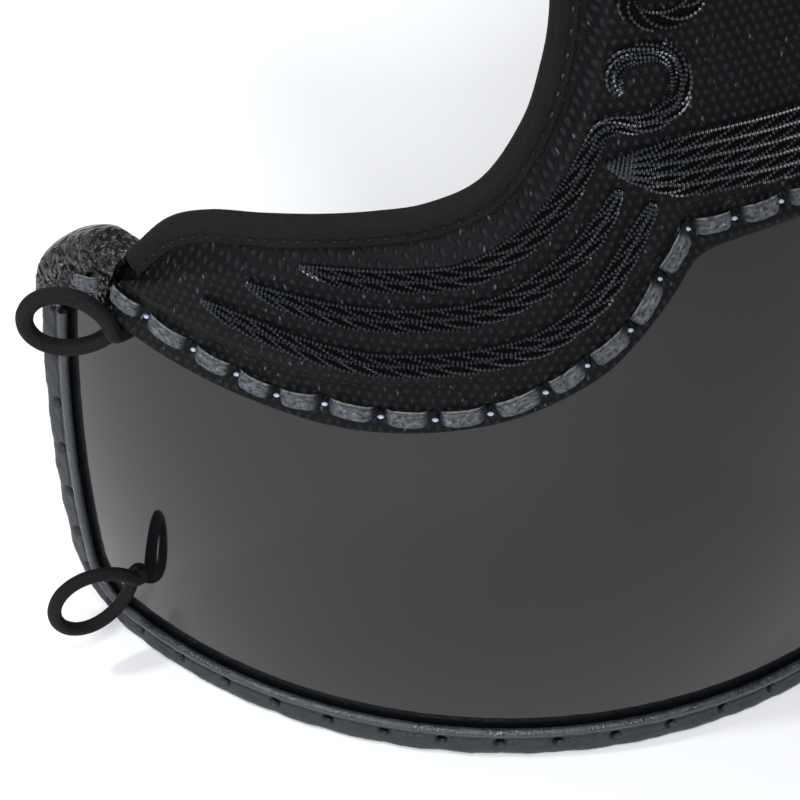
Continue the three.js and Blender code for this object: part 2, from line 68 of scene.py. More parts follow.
def linear(hex_colour):
    channels = [int(hex_colour[i:i + 2], 16) / 255 for i in (1, 3, 5)]
    return [c / 12.92 if c <= 0.04045 else ((c + 0.055) / 1.055) ** 2.4 for c in channels] + [1]


def output_of(source):
    """A node stands for its first output, and an output for itself."""
    return source.outputs[0] if isinstance(source, bpy.types.Node) else source


def add_node(tree, kind, values, links=None):
    """Adds a node. Small first letters name its settings, other keys its inputs."""
    made = tree.nodes.new("ShaderNode" + kind)
    for key, value in values.items():
        if isinstance(key, str) and key[0].islower():
            setattr(made, key, value)
        else:
            made.inputs[key].default_value = value
    for key, source in (links or {}).items():
        tree.links.new(output_of(source), made.inputs[key])
    return made


def new_material(name, space, **values):
    """A material with values set on its shader, and the Object or UV coordinates for its patterns."""
    made = bpy.data.materials.new(name)
    made.use_nodes = True
    tree = made.node_tree
    shader = tree.nodes["Principled BSDF"]
    for key, value in values.items():
        shader.inputs[key.replace("_", " ")].default_value = value
    return made, tree, shader, add_node(tree, "TexCoord", {}).outputs[space]


def feed(shader, **sources):
    """Links nodes to the shader's inputs."""
    for key, source in sources.items():
        shader.id_data.links.new(output_of(source), shader.inputs[key.replace("_", " ")])


# Matt white laminate, rolled on: slightly uneven, so light spreads over it with no mirror image
laminate, tree, shader, where = new_material("matt_white_laminate", "Object", Roughness=0.85, IOR=1.5)
clouding = add_node(tree, "TexNoise", {"Scale": 3, "Detail": 2}, {"Vector": where})
tint = add_node(tree, "Mix", {"data_type": "RGBA", 6: linear("#f2f2f1"), 7: linear("#f7f7f7")},
                {0: clouding})
feed(shader, Base_Color=tint.outputs[2])

table = bmesh.new()
bmesh.ops.create_grid(table, x_segments=8, y_segments=8, size=4)
table_mesh = bpy.data.meshes.new("table")
table.to_mesh(table_mesh)
table.free()
table_mesh.materials.append(laminate)
add_to_scene("table", table_mesh)

room = bpy.data.worlds.new("room")
room.use_nodes = True
room.node_tree.nodes["Background"].inputs["Color"].default_value = linear("#fdfdff")
room.node_tree.nodes["Background"].inputs["Strength"].default_value = 0.16
scene.world = room


def add_soft_light(name, size, power, place, aim):
    data = bpy.data.lights.new(name, "AREA")
    data.size = size
    data.energy = power
    data.color = (0.95, 0.97, 1)
    made = add_to_scene(name, data)
    made.location = place
    made.rotation_euler = (Vector(place) - Vector(aim)).to_track_quat("Z", "Y").to_euler()


add_soft_light("left_softbox", 0.8, 24, (-1.1, -0.75, 1.1), (-0.2, 0, 0.1))
add_soft_light("back_softbox", 0.5, 5, (0.1, 1.1, 1.1), (0, 0, 0.2))
add_soft_light("overhead_lamp", 0.1, 4.5, (-0.75, 0.35, 1.05), (-0.1, 0, 0.2))
add_soft_light("rear_lamp", 0.14, 3.5, (0.42, 0.8, 1.1), (-0.1, 0, 0.15))
add_soft_light("front_lamp", 0.12, 4, (-0.35, -0.55, 1.2), (-0.1, 0, 0.1))

# Resin body.
# The bulged shell round the front and sides of the torso. It is fibre-filled resin, pressed in a heated
# mould and polished black, so it mirrors its surroundings with a faint mottle.

plan_radius = 196
side_reach = 312
full_height = 452
belly_height = 50
belly_curve = 540
straight_from = 158
straight_ease = 90
backward_lean = 0.055
shell_wall = 3.5
corner_radius = 28
binding_leather = 2
binding_depth = 10.5
binding_top = 138
gap = 0.4
plan_middle = 93.041


def on_body(along, up, out):
    """The point at millimetres along the wrap, up from the table and out from the shell."""
    slope = (straight_from - belly_height) / belly_curve
    bulge = (min(up, straight_from) - belly_height) ** 2 / (2 * belly_curve)
    above = max(up - straight_from, 0)
    eased = min(above, straight_ease)
    drawn_in = slope * (eased - eased ** 2 / (2 * straight_ease))
    set_back = backward_lean * up + slope * above - drawn_in
    radius = plan_radius - bulge - drawn_in + out
    turn = along / plan_radius
    across = radius * math.sin(turn)
    forward = set_back - radius * math.cos(turn)
    return Vector((across, forward + plan_middle, up)) / 1000


def curve_point(points, share):
    """A point on the smooth curve through the points, at a share of its run."""
    last = len(points) - 1
    place = min(max(share, 0), 1) * last
    i = min(int(place), last - 1)
    t = place - i
    before, start, end, after = (Vector(points[min(max(i + k, 0), last)]) for k in (-1, 0, 1, 2))
    leaving = (end - before) / 2
    arriving = (after - start) / 2
    return (start * (2 * t ** 3 - 3 * t ** 2 + 1) + end * (3 * t ** 2 - 2 * t ** 3)
            + leaving * (t ** 3 - 2 * t ** 2 + t) + arriving * (t ** 3 - t ** 2))


def both_sides(rows):
    """Table rows as millimetres, from the wearer's left to the wearer's right."""
    points = [(along * side_reach, up * full_height) for along, up in rows]
    return points[::-1] + [(-along, up) for along, up in points if along > 0]


def lay_grid(bm, columns, rows, place, pattern):
    """A grid put in place by shares of its run and its depth, with pattern coordinates in millimetres."""
    layer = bm.loops.layers.uv.verify()
    made = bmesh.ops.create_grid(bm, x_segments=columns, y_segments=rows, size=0.5)
    shares = {v: (round((v.co.x + 0.5) * columns) / columns, round((v.co.y + 0.5) * rows) / rows)
              for v in made["verts"]}
    for vertex, (run, depth) in shares.items():
        vertex.co = place(run, depth)
    for face in {face for vertex in made["verts"] for face in vertex.link_faces}:
        for corner in face.loops:
            corner[layer].uv = pattern(*shares[corner.vert])


def close_up(bm):
    """Joins the edges that meet, fills the open ends and turns the faces outwards."""
    bmesh.ops.remove_doubles(bm, verts=bm.verts, dist=2e-6)
    bmesh.ops.holes_fill(bm, edges=[e for e in bm.edges if e.is_boundary], sides=0)
    bmesh.ops.recalc_face_normals(bm, faces=bm.faces)


def add_piece(name, bm, material, nodes=()):
    """Closes the form up and makes a piece of it that rides on the part and replaces its solids."""
    close_up(bm)
    mesh = bpy.data.meshes.new(name)
    bm.to_mesh(mesh)
    bm.free()
    mesh.materials.append(material)
    mesh.shade_smooth()
    mesh.set_sharp_from_angle(angle=math.radians(48))
    piece = add_to_scene(name, mesh)
    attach(piece, "root")
    if nodes:
        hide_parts(*nodes)
    return piece


# Black fibre-filled phenolic resin, polished: mirrors the table, with a faint mottle and slow waves
resin, tree, shader, where = new_material("polished_black_resin", "Object", Base_Color=linear("#0c0d0f"),
                                          IOR=1.48)
mottle = add_node(tree, "TexNoise", {"Scale": 220, "Detail": 4}, {"Vector": where})
polish = add_node(tree, "MapRange", {"From Min": 0.3, "From Max": 0.7, "To Min": 0.03, "To Max": 0.075},
                  {"Value": mottle})
waves = add_node(tree, "TexNoise", {"Scale": 14, "Detail": 1}, {"Vector": where})
mould = add_node(tree, "Bump", {"Strength": 0.06, "Distance": 0.0006}, {"Height": waves})
feed(shader, Roughness=polish, Normal=mould)

# Outlines: share of the reach along the wrap, share of the full height
body_top = [(0, 0.553), (0.16, 0.55), (0.27, 0.535), (0.345, 0.508), (0.4, 0.478), (0.48, 0.455),
            (0.61, 0.44), (0.7, 0.426), (0.76, 0.4), (0.81, 0.374), (0.86, 0.371), (0.905, 0.367),
            (0.937, 0.352), (0.961, 0.333)]
clear = binding_leather + gap
shell_reach = side_reach - clear
shell_corner = corner_radius - clear
top_samples = 300
rear_end = (shell_reach / side_reach, (binding_top - binding_depth / 2) / full_height)
top_rows = both_sides([*body_top, rear_end])
top_line = [curve_point(top_rows, i / top_samples) for i in range(top_samples + 1)]


def top_at(along):
    """Height of the shell's top edge at a distance along the wrap."""
    for left, right in zip(top_line, top_line[1:]):
        if left.x >= along >= right.x:
            return left.y + (right.y - left.y) * (left.x - along) / max(left.x - right.x, 1e-6)
    return top_line[-1].y


def bottom_at(along):
    past = max(abs(along) - (shell_reach - shell_corner), 0)
    return clear + shell_corner - math.sqrt(max(shell_corner ** 2 - past ** 2, 0))


shell = bmesh.new()
shell_columns, shell_rows = 240, 60
shell_round = 2 * shell_rows + 2
edges_of_shell = {}
for column in range(shell_columns + 1):
    at = shell_reach * math.sin(math.pi * (0.5 - column / shell_columns))
    edges_of_shell[column / shell_columns] = (at, bottom_at(at), top_at(at))


def shell_wall_at(share, round_share):
    """Up the outer face and down the inner one."""
    at, low, high = edges_of_shell[share]
    step = round(round_share * shell_round) % shell_round
    outside = step <= shell_rows
    depth = (step if outside else shell_round - 1 - step) / shell_rows
    return at, low + (high - low) * depth, 0 if outside else -shell_wall


lay_grid(shell, shell_columns, shell_round, lambda *shares: on_body(*shell_wall_at(*shares)),
         lambda *shares: shell_wall_at(*shares)[:2])
add_piece("resin_body", shell, resin, ["body_shell"])

# Rim leather.
# A strip of dyed cowhide folded over the rim and sewn through with a hidden thong, so a row of holes and a
# sunken line between them run along its face. Thin rolled piping of the same hide finishes its inner edge.

# Chrome-tanned cowhide, dyed through and glazed: a soft sheen over fine grain, with painted shade, near
# black, in the holes and the crease where it sinks
leather, tree, shader, where = new_material("glazed_grey_cowhide", "Object", IOR=1.46,
                                            Specular_IOR_Level=0.4)
grain = add_node(tree, "TexVoronoi", {"Scale": 1100, "feature": "DISTANCE_TO_EDGE"}, {"Vector": where})
creases = add_node(tree, "TexNoise", {"Scale": 170, "Detail": 7, "Roughness": 0.68}, {"Vector": where})
relief = add_node(tree, "Math", {"operation": "ADD"}, {0: grain, 1: creases})
surface = add_node(tree, "Bump", {"Strength": 0.55, "Distance": 0.0006}, {"Height": relief})
shade = add_node(tree, "Mix", {"data_type": "RGBA", 6: linear("#101214"), 7: linear("#34383d")},
                 {0: creases})
# The holes and the crease between them are painted near black: painted shade where the leather sinks
painted_hole_shade = add_node(tree, "Attribute", {"attribute_name": "painted_hole_shade"})
pulled = add_node(tree, "Mix", {"data_type": "RGBA", 7: linear("#020202")},
                  {0: painted_hole_shade.outputs["Fac"], 6: shade.outputs[2]})
glaze = add_node(tree, "MapRange", {"To Min": 0.3, "To Max": 0.62}, {"Value": creases})
feed(shader, Normal=surface, Base_Color=pulled.outputs[2], Roughness=glaze)

straight_run = side_reach - corner_radius
corner_run = corner_radius * math.pi / 2
half_rim = straight_run + corner_run + binding_top - corner_radius
stitch_pitch = 20.2
stitch_depth = 7.2
first_stitch = -14.2
hole_radius = 1.75
hole_stretch = 1.15
crease_offset = 1.3
crease_width = 0.36
hole_sink = 1.8
crease_sink = 0.7
rim_nose = 2.2
rim_face_out = gap + binding_leather


def rim_place(run):
    """The rim's point at a distance from the front, and the way in from it, both on the unrolled body."""
    distance, side = abs(run), math.copysign(1, run)
    if distance <= straight_run:
        return Vector((run, 0)), Vector((0, 1))
    turn = min((distance - straight_run) / corner_radius, math.pi / 2)
    rise = max(distance - straight_run - corner_run, 0)
    point = Vector((side * (straight_run + corner_radius * math.sin(turn)),
                    corner_radius * (1 - math.cos(turn)) + rise))
    return point, Vector((-side * math.sin(turn), math.cos(turn)))


def smooth_step(value):
    value = min(max(value, 0), 1)
    return value * value * (3 - 2 * value)


def rim_marks(run, depth):
    """How near the thong's holes, and the crease that it draws between them, a place on the face is."""
    along = (run - first_stitch) % stitch_pitch
    from_hole = min(along, stitch_pitch - along)
    hole = math.exp(-(math.hypot(from_hole / hole_stretch, depth - stitch_depth) / hole_radius) ** 4)
    wander = 0.5 * noise.noise(Vector((run / 7, 3, 0)))
    line = abs(depth - stitch_depth - crease_offset - wander * min(from_hole / 3, 1))
    crease = math.exp(-(line / crease_width) ** 2) * smooth_step((stitch_pitch - along) / 6)
    return hole, crease, from_hole


def rim_relief(run, depth):
    """How far the face sinks at the holes and the crease, and swells between them."""
    hole, crease, from_hole = rim_marks(run, depth)
    between = math.sin(math.pi / 2 * min(from_hole / (stitch_pitch / 2), 1))
    swell = (0.9 + 0.5 * between) * math.exp(-((depth - 3.5) / 3.2) ** 2)
    lump = 0.3 * noise.noise(Vector((run / 5, depth / 3, 0)))
    lump += 0.12 * noise.noise(Vector((run / 1.1, depth, 0)))
    return hole_sink * hole + crease_sink * crease - swell - lump


def fold_section(face, back, cloth, nose, depth, relief):
    """Points round a strip folded over an edge: over the fold, down its face, back inside, up behind."""
    middle, half = (face + back) / 2, (face - back) / 2
    over = [(nose * (1 - math.cos(a)), middle + half * math.sin(a))
            for a in (math.pi * k / 14 for k in range(-6, 8))]
    over = [(at, out - relief(at) * smooth_step((out - middle) / half)) for at, out in over]
    front = [(nose + (depth - nose) * k / 22, 0) for k in range(1, 23)]
    front = [(at, face - relief(at) - 0.5 * smooth_step((at - depth + 0.8) / 0.8)) for at, out in front]
    inner = [(depth, face - cloth), (nose, face - cloth), (cloth, middle), (nose, back + cloth),
             (depth, back + cloth), (depth, back), (nose, back)]
    return over + front + inner


rim = bmesh.new()
rim_columns = 1800
rim_sections = {}
for column in range(rim_columns + 1):
    run = half_rim * (1 - 2 * column / rim_columns)
    section = fold_section(rim_face_out, -shell_wall - rim_face_out, binding_leather, rim_nose,
                           binding_depth, lambda depth: rim_relief(run, depth))
    rim_sections[column / rim_columns] = (run, *rim_place(run), section)
rim_rows = len(section)
outer_points = 36


def rim_face(share, round_share):
    run, point, inward, section = rim_sections[share]
    depth, out = section[round(round_share * rim_rows) % rim_rows]
    at = point + inward * depth
    return on_body(at.x, at.y, out)


def rim_pattern(share, round_share):
    """Along the rim and in from it on the outer face, and far from every hole on the hidden one."""
    step = round(round_share * rim_rows) % rim_rows
    return rim_sections[share][0], rim_sections[share][3][step][0] if step < outer_points else 100


lay_grid(rim, rim_columns, rim_rows, rim_face, rim_pattern)
# Marks the holes and the crease for the painted shade in the leather's colour
painted_shade_layer = rim.verts.layers.float.new("painted_hole_shade")
pattern_layer = rim.loops.layers.uv.verify()
for face in rim.faces:
    for corner in face.loops:
        hole, crease, _ = rim_marks(*corner[pattern_layer].uv)
        corner.vert[painted_shade_layer] = min(max(hole * 1.6 - 0.1, 0.9 * crease, 0), 1)
add_piece("rim_leather", rim, leather, ["edge_binding"])

# The thong in the holes is hemp twine, waxed black, which swallows the light that falls on it
twine, tree, shader, where = new_material("waxed_black_hemp_twine", "Object", IOR=1.5, Roughness=0.9,
                                          Specular_IOR_Level=0.05)
strands = add_node(tree, "TexNoise", {"Scale": 1400, "Detail": 2}, {"Vector": where})
shade = add_node(tree, "Mix", {"data_type": "RGBA", 6: linear("#010101"), 7: linear("#060606")},
                 {0: strands})
feed(shader, Base_Color=shade.outputs[2])
thong = bmesh.new()
for number in range(-20, 22):
    run = number * stitch_pitch + first_stitch
    if abs(run) > half_rim - 4:
        continue
    point, inward = rim_place(run)
    along = Vector((inward.y, -inward.x))
    knot = bmesh.ops.create_uvsphere(thong, u_segments=10, v_segments=6, radius=1)["verts"]
    for vertex in knot:
        at = point + inward * (stitch_depth + 1.5 * vertex.co.y) + along * hole_radius * vertex.co.x
        vertex.co = on_body(at.x, at.y, rim_face_out - 1.3 + 0.6 * vertex.co.z)
add_piece("hidden_thong", thong, twine)


def tube(bm, path, radius, sides, closed=False, pattern_run=None):
    """A round tube along points in metres, its pattern running in millimetres or up to pattern_run."""
    pattern_round = 6
    count = len(path)
    lengths = [0]
    for here, there in zip(path, path[1:]):
        lengths.append(lengths[-1] + (there - here).length * 1000)
    frames = []
    side = None
    for i in range(count):
        ahead = path[(i + 1) % count if closed else min(i + 1, count - 1)]
        behind = path[(i - 1) % count if closed else max(i - 1, 0)]
        run = (ahead - behind).normalized()
        if side is None:
            side = run.orthogonal()
        side = (side - run * side.dot(run)).normalized()
        frames.append((side, run.cross(side)))
    last = count if closed else count - 1

    def place(share, round_share):
        i = round(share * last) % count
        angle = 2 * math.pi * (round_share % 1)
        size = radius(i / max(count - 1, 1)) if callable(radius) else radius
        return path[i] + (frames[i][0] * math.cos(angle) + frames[i][1] * math.sin(angle)) * size / 1000

    def pattern(share, round_share):
        if pattern_run is None:
            return lengths[min(round(share * last), count - 1)], round_share * pattern_round
        return share * pattern_run, round_share * pattern_round

    lay_grid(bm, last, sides, place, pattern)


piping_radius = 1.7
piping_steps = 700
piping = bmesh.new()
piping_path = []
for step in range(piping_steps + 1):
    run = half_rim * (1 - 2 * step / piping_steps)
    point, inward = rim_place(run)
    at = point + inward * (binding_depth + gap + piping_radius)
    piping_path.append(on_body(at.x, at.y, gap + piping_radius))


def piping_size(share):
    return piping_radius * (1 + 0.1 * noise.noise(Vector((share * 190, 0, 0))))


tube(piping, piping_path, piping_size, 12)

# The same hide, rolled thin and burnished, so that a broken bright line runs along its crest
rolled_hide = leather.copy()
rolled_hide.name = "burnished_grey_cowhide"
rolled_hide.node_tree.nodes["Principled BSDF"].inputs["Specular IOR Level"].default_value = 0.8
burnish = rolled_hide.node_tree.nodes["Map Range"]
burnish.inputs["From Min"].default_value = 0.35
burnish.inputs["From Max"].default_value = 0.65
burnish.inputs["To Min"].default_value = 0.14
burnish.inputs["To Max"].default_value = 0.55
add_piece("rim_piping", piping, rolled_hide, ["edge_piping"])

# Chest panel.
# Felt and board wrapped in black cotton, woven with rice-grain bumps, and laced over the top of the shell.
# The stuffing swells between the laced edge, the edging and the embroidery that holds the cloth down.

panel_edge = 5
panel_pad = 8
panel_rim = 3
lace_margin = 15
pad_slope = 7
edging_width = 8
edging_cloth = 1.5
lace_margin_share = 0.8

# The panel's laced edge and its rim, as shares of the reach and of the full height
lower_rows = [(0, 0.4445), (0.045, 0.4445), (0.09, 0.4445), (0.128, 0.4443), (0.16, 0.4438),
              (0.186, 0.443), (0.207, 0.4412), (0.224, 0.4375), (0.237, 0.43), (0.249, 0.4185),
              (0.268, 0.4025), (0.298, 0.381), (0.331, 0.362), (0.385, 0.343), (0.442, 0.3293),
              (0.522, 0.319), (0.6, 0.3156), (0.69, 0.3198), (0.77, 0.3255), (0.84, 0.3325),
              (0.87, 0.34)]
upper_rows = [(0, 0.96), (0.1, 0.965), (0.2, 0.98), (0.285, 0.995), (0.348, 0.996), (0.384, 0.965),
              (0.38, 0.915), (0.362, 0.84), (0.346, 0.755), (0.341, 0.675), (0.352, 0.608),
              (0.371, 0.567), (0.395, 0.535), (0.44, 0.4995), (0.497, 0.481), (0.552, 0.472),
              (0.61, 0.464), (0.675, 0.4555), (0.74, 0.446), (0.795, 0.428), (0.846, 0.393)]
lower_line = both_sides(lower_rows)
upper_line = both_sides(upper_rows)


def curve_run(points, share):
    return (curve_point(points, share + 1e-4) - curve_point(points, share - 1e-4)).normalized()


# The lace's holes, along the wrap and up from the table. They were punched by eye, so their pitch varies.
lace_end = (289, 158)
half_holes = [(271, 164), (255, 161), (236, 157), (220, 154), (206, 151), (190, 152), (172, 151),
              (155, 152), (138, 155), (121, 162), (108, 170), (94, 180), (84, 195), (74, 209),
              (58, 209), (41, 210), (25, 210), (8, 210)]
lace_holes = [Vector(p) for p in half_holes] + [Vector((-along, up)) for along, up in half_holes[::-1]]

# The clouds' middle lines: shares of the reach, of the full height and of the cloud's width
cloud_fingers = [
    [(0.625, 0.438, 0.2), (0.603, 0.4354, 0.7), (0.573, 0.4356, 0.9), (0.514, 0.4387, 1),
     (0.456, 0.4465, 1), (0.407, 0.4663, 1), (0.377, 0.4845, 1), (0.354, 0.5016, 0.95),
     (0.336, 0.5216, 0.85), (0.322, 0.537, 0.75), (0.307, 0.5413, 0.75), (0.28, 0.5396, 0.75),
     (0.255, 0.5452, 0.85), (0.241, 0.5533, 0.9), (0.238, 0.5643, 0.9), (0.242, 0.576, 0.8),
     (0.256, 0.5835, 0.7), (0.275, 0.5848, 0.7), (0.293, 0.582, 0.75), (0.303, 0.574, 0.75),
     (0.302, 0.5655, 0.6), (0.297, 0.5605, 0.25)],
    [(0.684, 0.4166, 0.2), (0.668, 0.4125, 0.6), (0.636, 0.4093, 0.9), (0.591, 0.4078, 1),
     (0.546, 0.4088, 1), (0.502, 0.412, 1), (0.459, 0.4172, 1), (0.42, 0.4265, 1), (0.381, 0.443, 1),
     (0.349, 0.46, 0.95), (0.325, 0.4795, 0.85), (0.312, 0.4936, 0.6), (0.308, 0.4993, 0.3)],
    [(0.737, 0.393, 0.2), (0.713, 0.3881, 0.7), (0.681, 0.3844, 0.9), (0.649, 0.3808, 0.95),
     (0.603, 0.377, 1), (0.558, 0.376, 1), (0.513, 0.3788, 1), (0.471, 0.3831, 1),
     (0.427, 0.3895, 1), (0.394, 0.3968, 1), (0.364, 0.409, 1), (0.334, 0.4269, 1),
     (0.31, 0.449, 0.95), (0.291, 0.4695, 0.8), (0.28, 0.4815, 0.6), (0.275, 0.4882, 0.3)],
]
half_band = [(0.318, 0.517, 0.25), (0.29, 0.5125, 1.3), (0.25, 0.5085, 2.25), (0.2, 0.508, 2.45),
             (0.1, 0.5055, 2.65)]
cloud_band = half_band + [(-along, up, width) for along, up, width in half_band[::-1]]
cloud_scroll = [(0.262, 0.632, 0.3), (0.276, 0.628, 0.6), (0.285, 0.617, 0.75), (0.28, 0.609, 0.75),
                (0.266, 0.6035, 0.75), (0.248, 0.602, 0.75), (0.23, 0.605, 0.75), (0.215, 0.613, 0.75),
                (0.205, 0.628, 0.75), (0.21, 0.648, 0.75), (0.235, 0.662, 0.75), (0.265, 0.672, 0.7),
                (0.288, 0.69, 0.2)]
cloud_width = 8


def cloud_line(rows):
    """Even samples of an embroidered band: distance along it, its middle, the way across, its width."""
    centre = [(along * side_reach, up * full_height) for along, up, width in rows]
    widths = [(width * cloud_width, 0) for along, up, width in rows]
    count = 60 * len(rows)
    samples, travelled = [], 0
    for i in range(count + 1):
        point = curve_point(centre, i / count)
        if samples:
            travelled += (point - samples[-1][1]).length
        run = curve_run(centre, min(max(i / count, 2e-4), 1 - 2e-4))
        samples.append((travelled, point, Vector((run.y, -run.x)),
                        max(curve_point(widths, i / count).x, 0.4)))
    return samples


cloud_lines = [cloud_line(rows) for rows in [*cloud_fingers, cloud_band, cloud_scroll]]


def panel_spine(share):
    """The panel's corner points from laced edge to rim, unrolled, its flat margin and its slopes' width."""
    low, top = curve_point(lower_line, share), curve_point(upper_line, share)
    run = curve_run(upper_line, min(max(share, 2e-4), 1 - 2e-4))
    inward = Vector((-run.y, run.x))
    rim_point = top + inward * (edging_cloth + gap)
    room = (top - low).length - edging_width - gap
    flat = min(lace_margin, room * lace_margin_share)
    slope = min(pad_slope, (room - flat) / 3)
    band_foot = top + inward * (edging_width + gap + slope)
    rise = (rim_point - low).normalized()
    return [low, low + rise * (flat + slope), band_foot, rim_point], flat, slope


def along_spine(spine, share):
    """Where a share of the way up the panel lies, and how far that is from its laced edge and its rim."""
    spans = [(b - a).length for a, b in zip(spine, spine[1:])]
    wanted = share * sum(spans)
    rest = wanted
    for (start, end), span in zip(zip(spine, spine[1:]), spans):
        if rest <= span or end is spine[-1]:
            return start.lerp(end, min(rest / span, 1)), wanted, sum(spans) - wanted
        rest -= span


# The stuffing's swell: a cloth held at the edges and under the embroidery is blown up from behind, and how
# far each point moves out is kept
swell_columns, swell_rows = 120, 26
swell_frames = 20
swell_limit = 2.2


def held_down(point, from_low, from_rim):
    """1 where the panel's cloth is sewn down, 0 where it is free to swell."""
    if from_low < lace_margin + 3 or from_rim < edging_width + 4:
        return 1
    mirrored = Vector((abs(point.x), point.y))
    for samples in cloud_lines:
        for _, middle, _, width in samples[::6]:
            if (mirrored - middle).length < width / 2 + 1.5:
                return 1
    return 0


swell = {}
sheet = bmesh.new()
places = {}
for column in range(swell_columns + 1):
    spine = panel_spine(column / swell_columns)[0]
    for row in range(swell_rows + 1):
        places[column / swell_columns, row / swell_rows] = along_spine(spine, row / swell_rows)
lay_grid(sheet, swell_columns, swell_rows,
         lambda *shares: on_body(*places[shares][0], gap + panel_pad), lambda *shares: shares)
bmesh.ops.recalc_face_normals(sheet, faces=sheet.faces)
sheet_mesh = bpy.data.meshes.new("cloth")
layer = sheet.loops.layers.uv.verify()
shares_of = {}
sheet.verts.index_update()
for face in sheet.faces:
    for corner in face.loops:
        column, row = corner[layer].uv
        shares_of[corner.vert.index] = (round(column * swell_columns), round(row * swell_rows))
sheet.to_mesh(sheet_mesh)
sheet.free()
cloth = add_to_scene("cloth", sheet_mesh)
pins = cloth.vertex_groups.new(name="sewn_down")
rest = {}
for vertex in sheet_mesh.vertices:
    column, row = shares_of[vertex.index]
    rest[column, row] = vertex.co.copy()
    held = held_down(*places[column / swell_columns, row / swell_rows])
    pins.add([vertex.index], float(held), "REPLACE")
blown = cloth.modifiers.new("blown", "CLOTH")
settings = blown.settings
settings.quality = 6
settings.mass = 0.2
settings.tension_stiffness = settings.compression_stiffness = 12
settings.bending_stiffness = 0.8
settings.vertex_group_mass = "sewn_down"
settings.use_pressure = True
settings.uniform_pressure_force = 1.6
settings.effector_weights.gravity = 0
blown.point_cache.frame_end = swell_frames
for step in range(1, swell_frames + 1):
    scene.frame_set(step)
moved = cloth.evaluated_get(bpy.context.evaluated_depsgraph_get()).to_mesh()
for vertex in moved.vertices:
    column, row = shares_of[vertex.index]
    point = places[column / swell_columns, row / swell_rows][0]
    step_out = vertex.co - rest[column, row]
    outward = 1 if step_out.dot(on_body(*point, 10) - on_body(*point, 0)) >= 0 else -1
    swell[column, row] = min(max(step_out.length * 1000 * outward, -0.5), swell_limit)
scene.frame_set(1)
bpy.data.objects.remove(cloth)


def swell_at(share, depth):
    """The swell between the cloth's points."""
    if not swell:
        return 0
    column, row = share * swell_columns, depth * swell_rows
    i, j = min(int(column), swell_columns - 1), min(int(row), swell_rows - 1)
    a, b = column - i, row - j
    near = swell[i, j] * (1 - b) + swell[i, j + 1] * b
    far = swell[i + 1, j] * (1 - b) + swell[i + 1, j + 1] * b
    return near * (1 - a) + far * a


panel_columns, panel_rows, back_rows, wall_rows = 560, 130, 10, 4
panel_round = panel_rows + back_rows + 2 * wall_rows
edge_tuck = 1.6
punch_depth = 3.4
punch_radius = 2.1
panel_spines = {i / panel_columns: panel_spine(i / panel_columns) for i in range(panel_columns + 1)}


def panel_height(point, from_low, from_rim, share, depth):
    """How far the panel's face stands out from its back."""
    _, flat, slope = panel_spines[share]
    pad = panel_edge + (panel_pad - panel_edge) * slope / pad_slope
    low_side = panel_edge + (pad - panel_edge) * smooth_step((from_low - flat) / slope)
    rim_side = panel_rim + (pad - panel_rim) * smooth_step((from_rim - edging_width + 1) / slope)
    height = min(low_side, rim_side) + swell_at(share, depth)
    height -= edge_tuck * (1 - smooth_step(from_low / 2)) ** 2
    if 3 < from_low < 20:
        for hole in lace_holes:
            if abs(hole.x - point.x) < 5 and (hole - point).length < 5:
                height -= punch_depth * math.exp(-((hole - point).length / punch_radius) ** 4)
    return height


def panel_place(share, round_share):
    step = round(round_share * panel_round) % panel_round
    spine = panel_spines[share][0]
    if step <= panel_rows:
        point, from_low, from_rim = along_spine(spine, step / panel_rows)
        return on_body(point.x, point.y,
                       gap + panel_height(point, from_low, from_rim, share, step / panel_rows))
    if step < panel_rows + wall_rows:
        point = along_spine(spine, 1)[0]
        return on_body(point.x, point.y, gap + panel_rim * (1 - (step - panel_rows) / wall_rows))
    if step <= panel_rows + wall_rows + back_rows:
        point = along_spine(spine, 1 - (step - panel_rows - wall_rows) / back_rows)[0]
        return on_body(point.x, point.y, gap)
    point = along_spine(spine, 0)[0]
    rise = (step - panel_rows - wall_rows - back_rows) / wall_rows
    return on_body(point.x, point.y, gap + (panel_edge - edge_tuck) * rise)


def panel_pattern(share, round_share):
    step = round(round_share * panel_round)
    spine = panel_spines[share][0]
    if step <= panel_rows:
        return along_spine(spine, step / panel_rows)[0]
    if step < panel_rows + wall_rows:
        return along_spine(spine, 1)[0] + Vector((0, step - panel_rows))
    if step <= panel_rows + wall_rows + back_rows:
        return along_spine(spine, 1 - (step - panel_rows - wall_rows) / back_rows)[0]
    return along_spine(spine, 0)[0] - Vector((0, panel_round - step))


# Thick black cotton woven with rice-grain bumps: each grain is painted a little lighter, a painted
# highlight, and the hollows darker, painted shade
cotton, tree, shader, where = new_material("rice_grain_black_cotton", "UV", IOR=1.5, Roughness=0.6,
                                           Specular_IOR_Level=0.13)
threads = add_node(tree, "TexNoise", {"Scale": 0.9, "Detail": 5, "Roughness": 0.8}, {"Vector": where})
wander = add_node(tree, "TexNoise", {"Scale": 0.22, "Detail": 2}, {"Vector": where})
pulled = add_node(tree, "VectorMath", {"operation": "MULTIPLY_ADD", 1: (2.2, 2.2, 0)},
                  {0: wander.outputs["Color"], 2: where})
grain_pitch, row_pitch = 3.3, 5.8
grain_size = (2 * math.pi / grain_pitch, 2 * math.pi / row_pitch, 0)
phases = add_node(tree, "VectorMath", {"operation": "MULTIPLY", 1: grain_size}, {0: pulled})
phase = add_node(tree, "SeparateXYZ", {}, {"Vector": phases})
along_row = add_node(tree, "Math", {"operation": "SINE"}, {0: phase.outputs["X"]})
across_rows = add_node(tree, "Math", {"operation": "SINE"}, {0: phase.outputs["Y"]})
both = add_node(tree, "Math", {"operation": "ADD"}, {0: along_row, 1: across_rows})
grains = add_node(tree, "Math", {"operation": "MULTIPLY"}, {0: both, 1: across_rows})
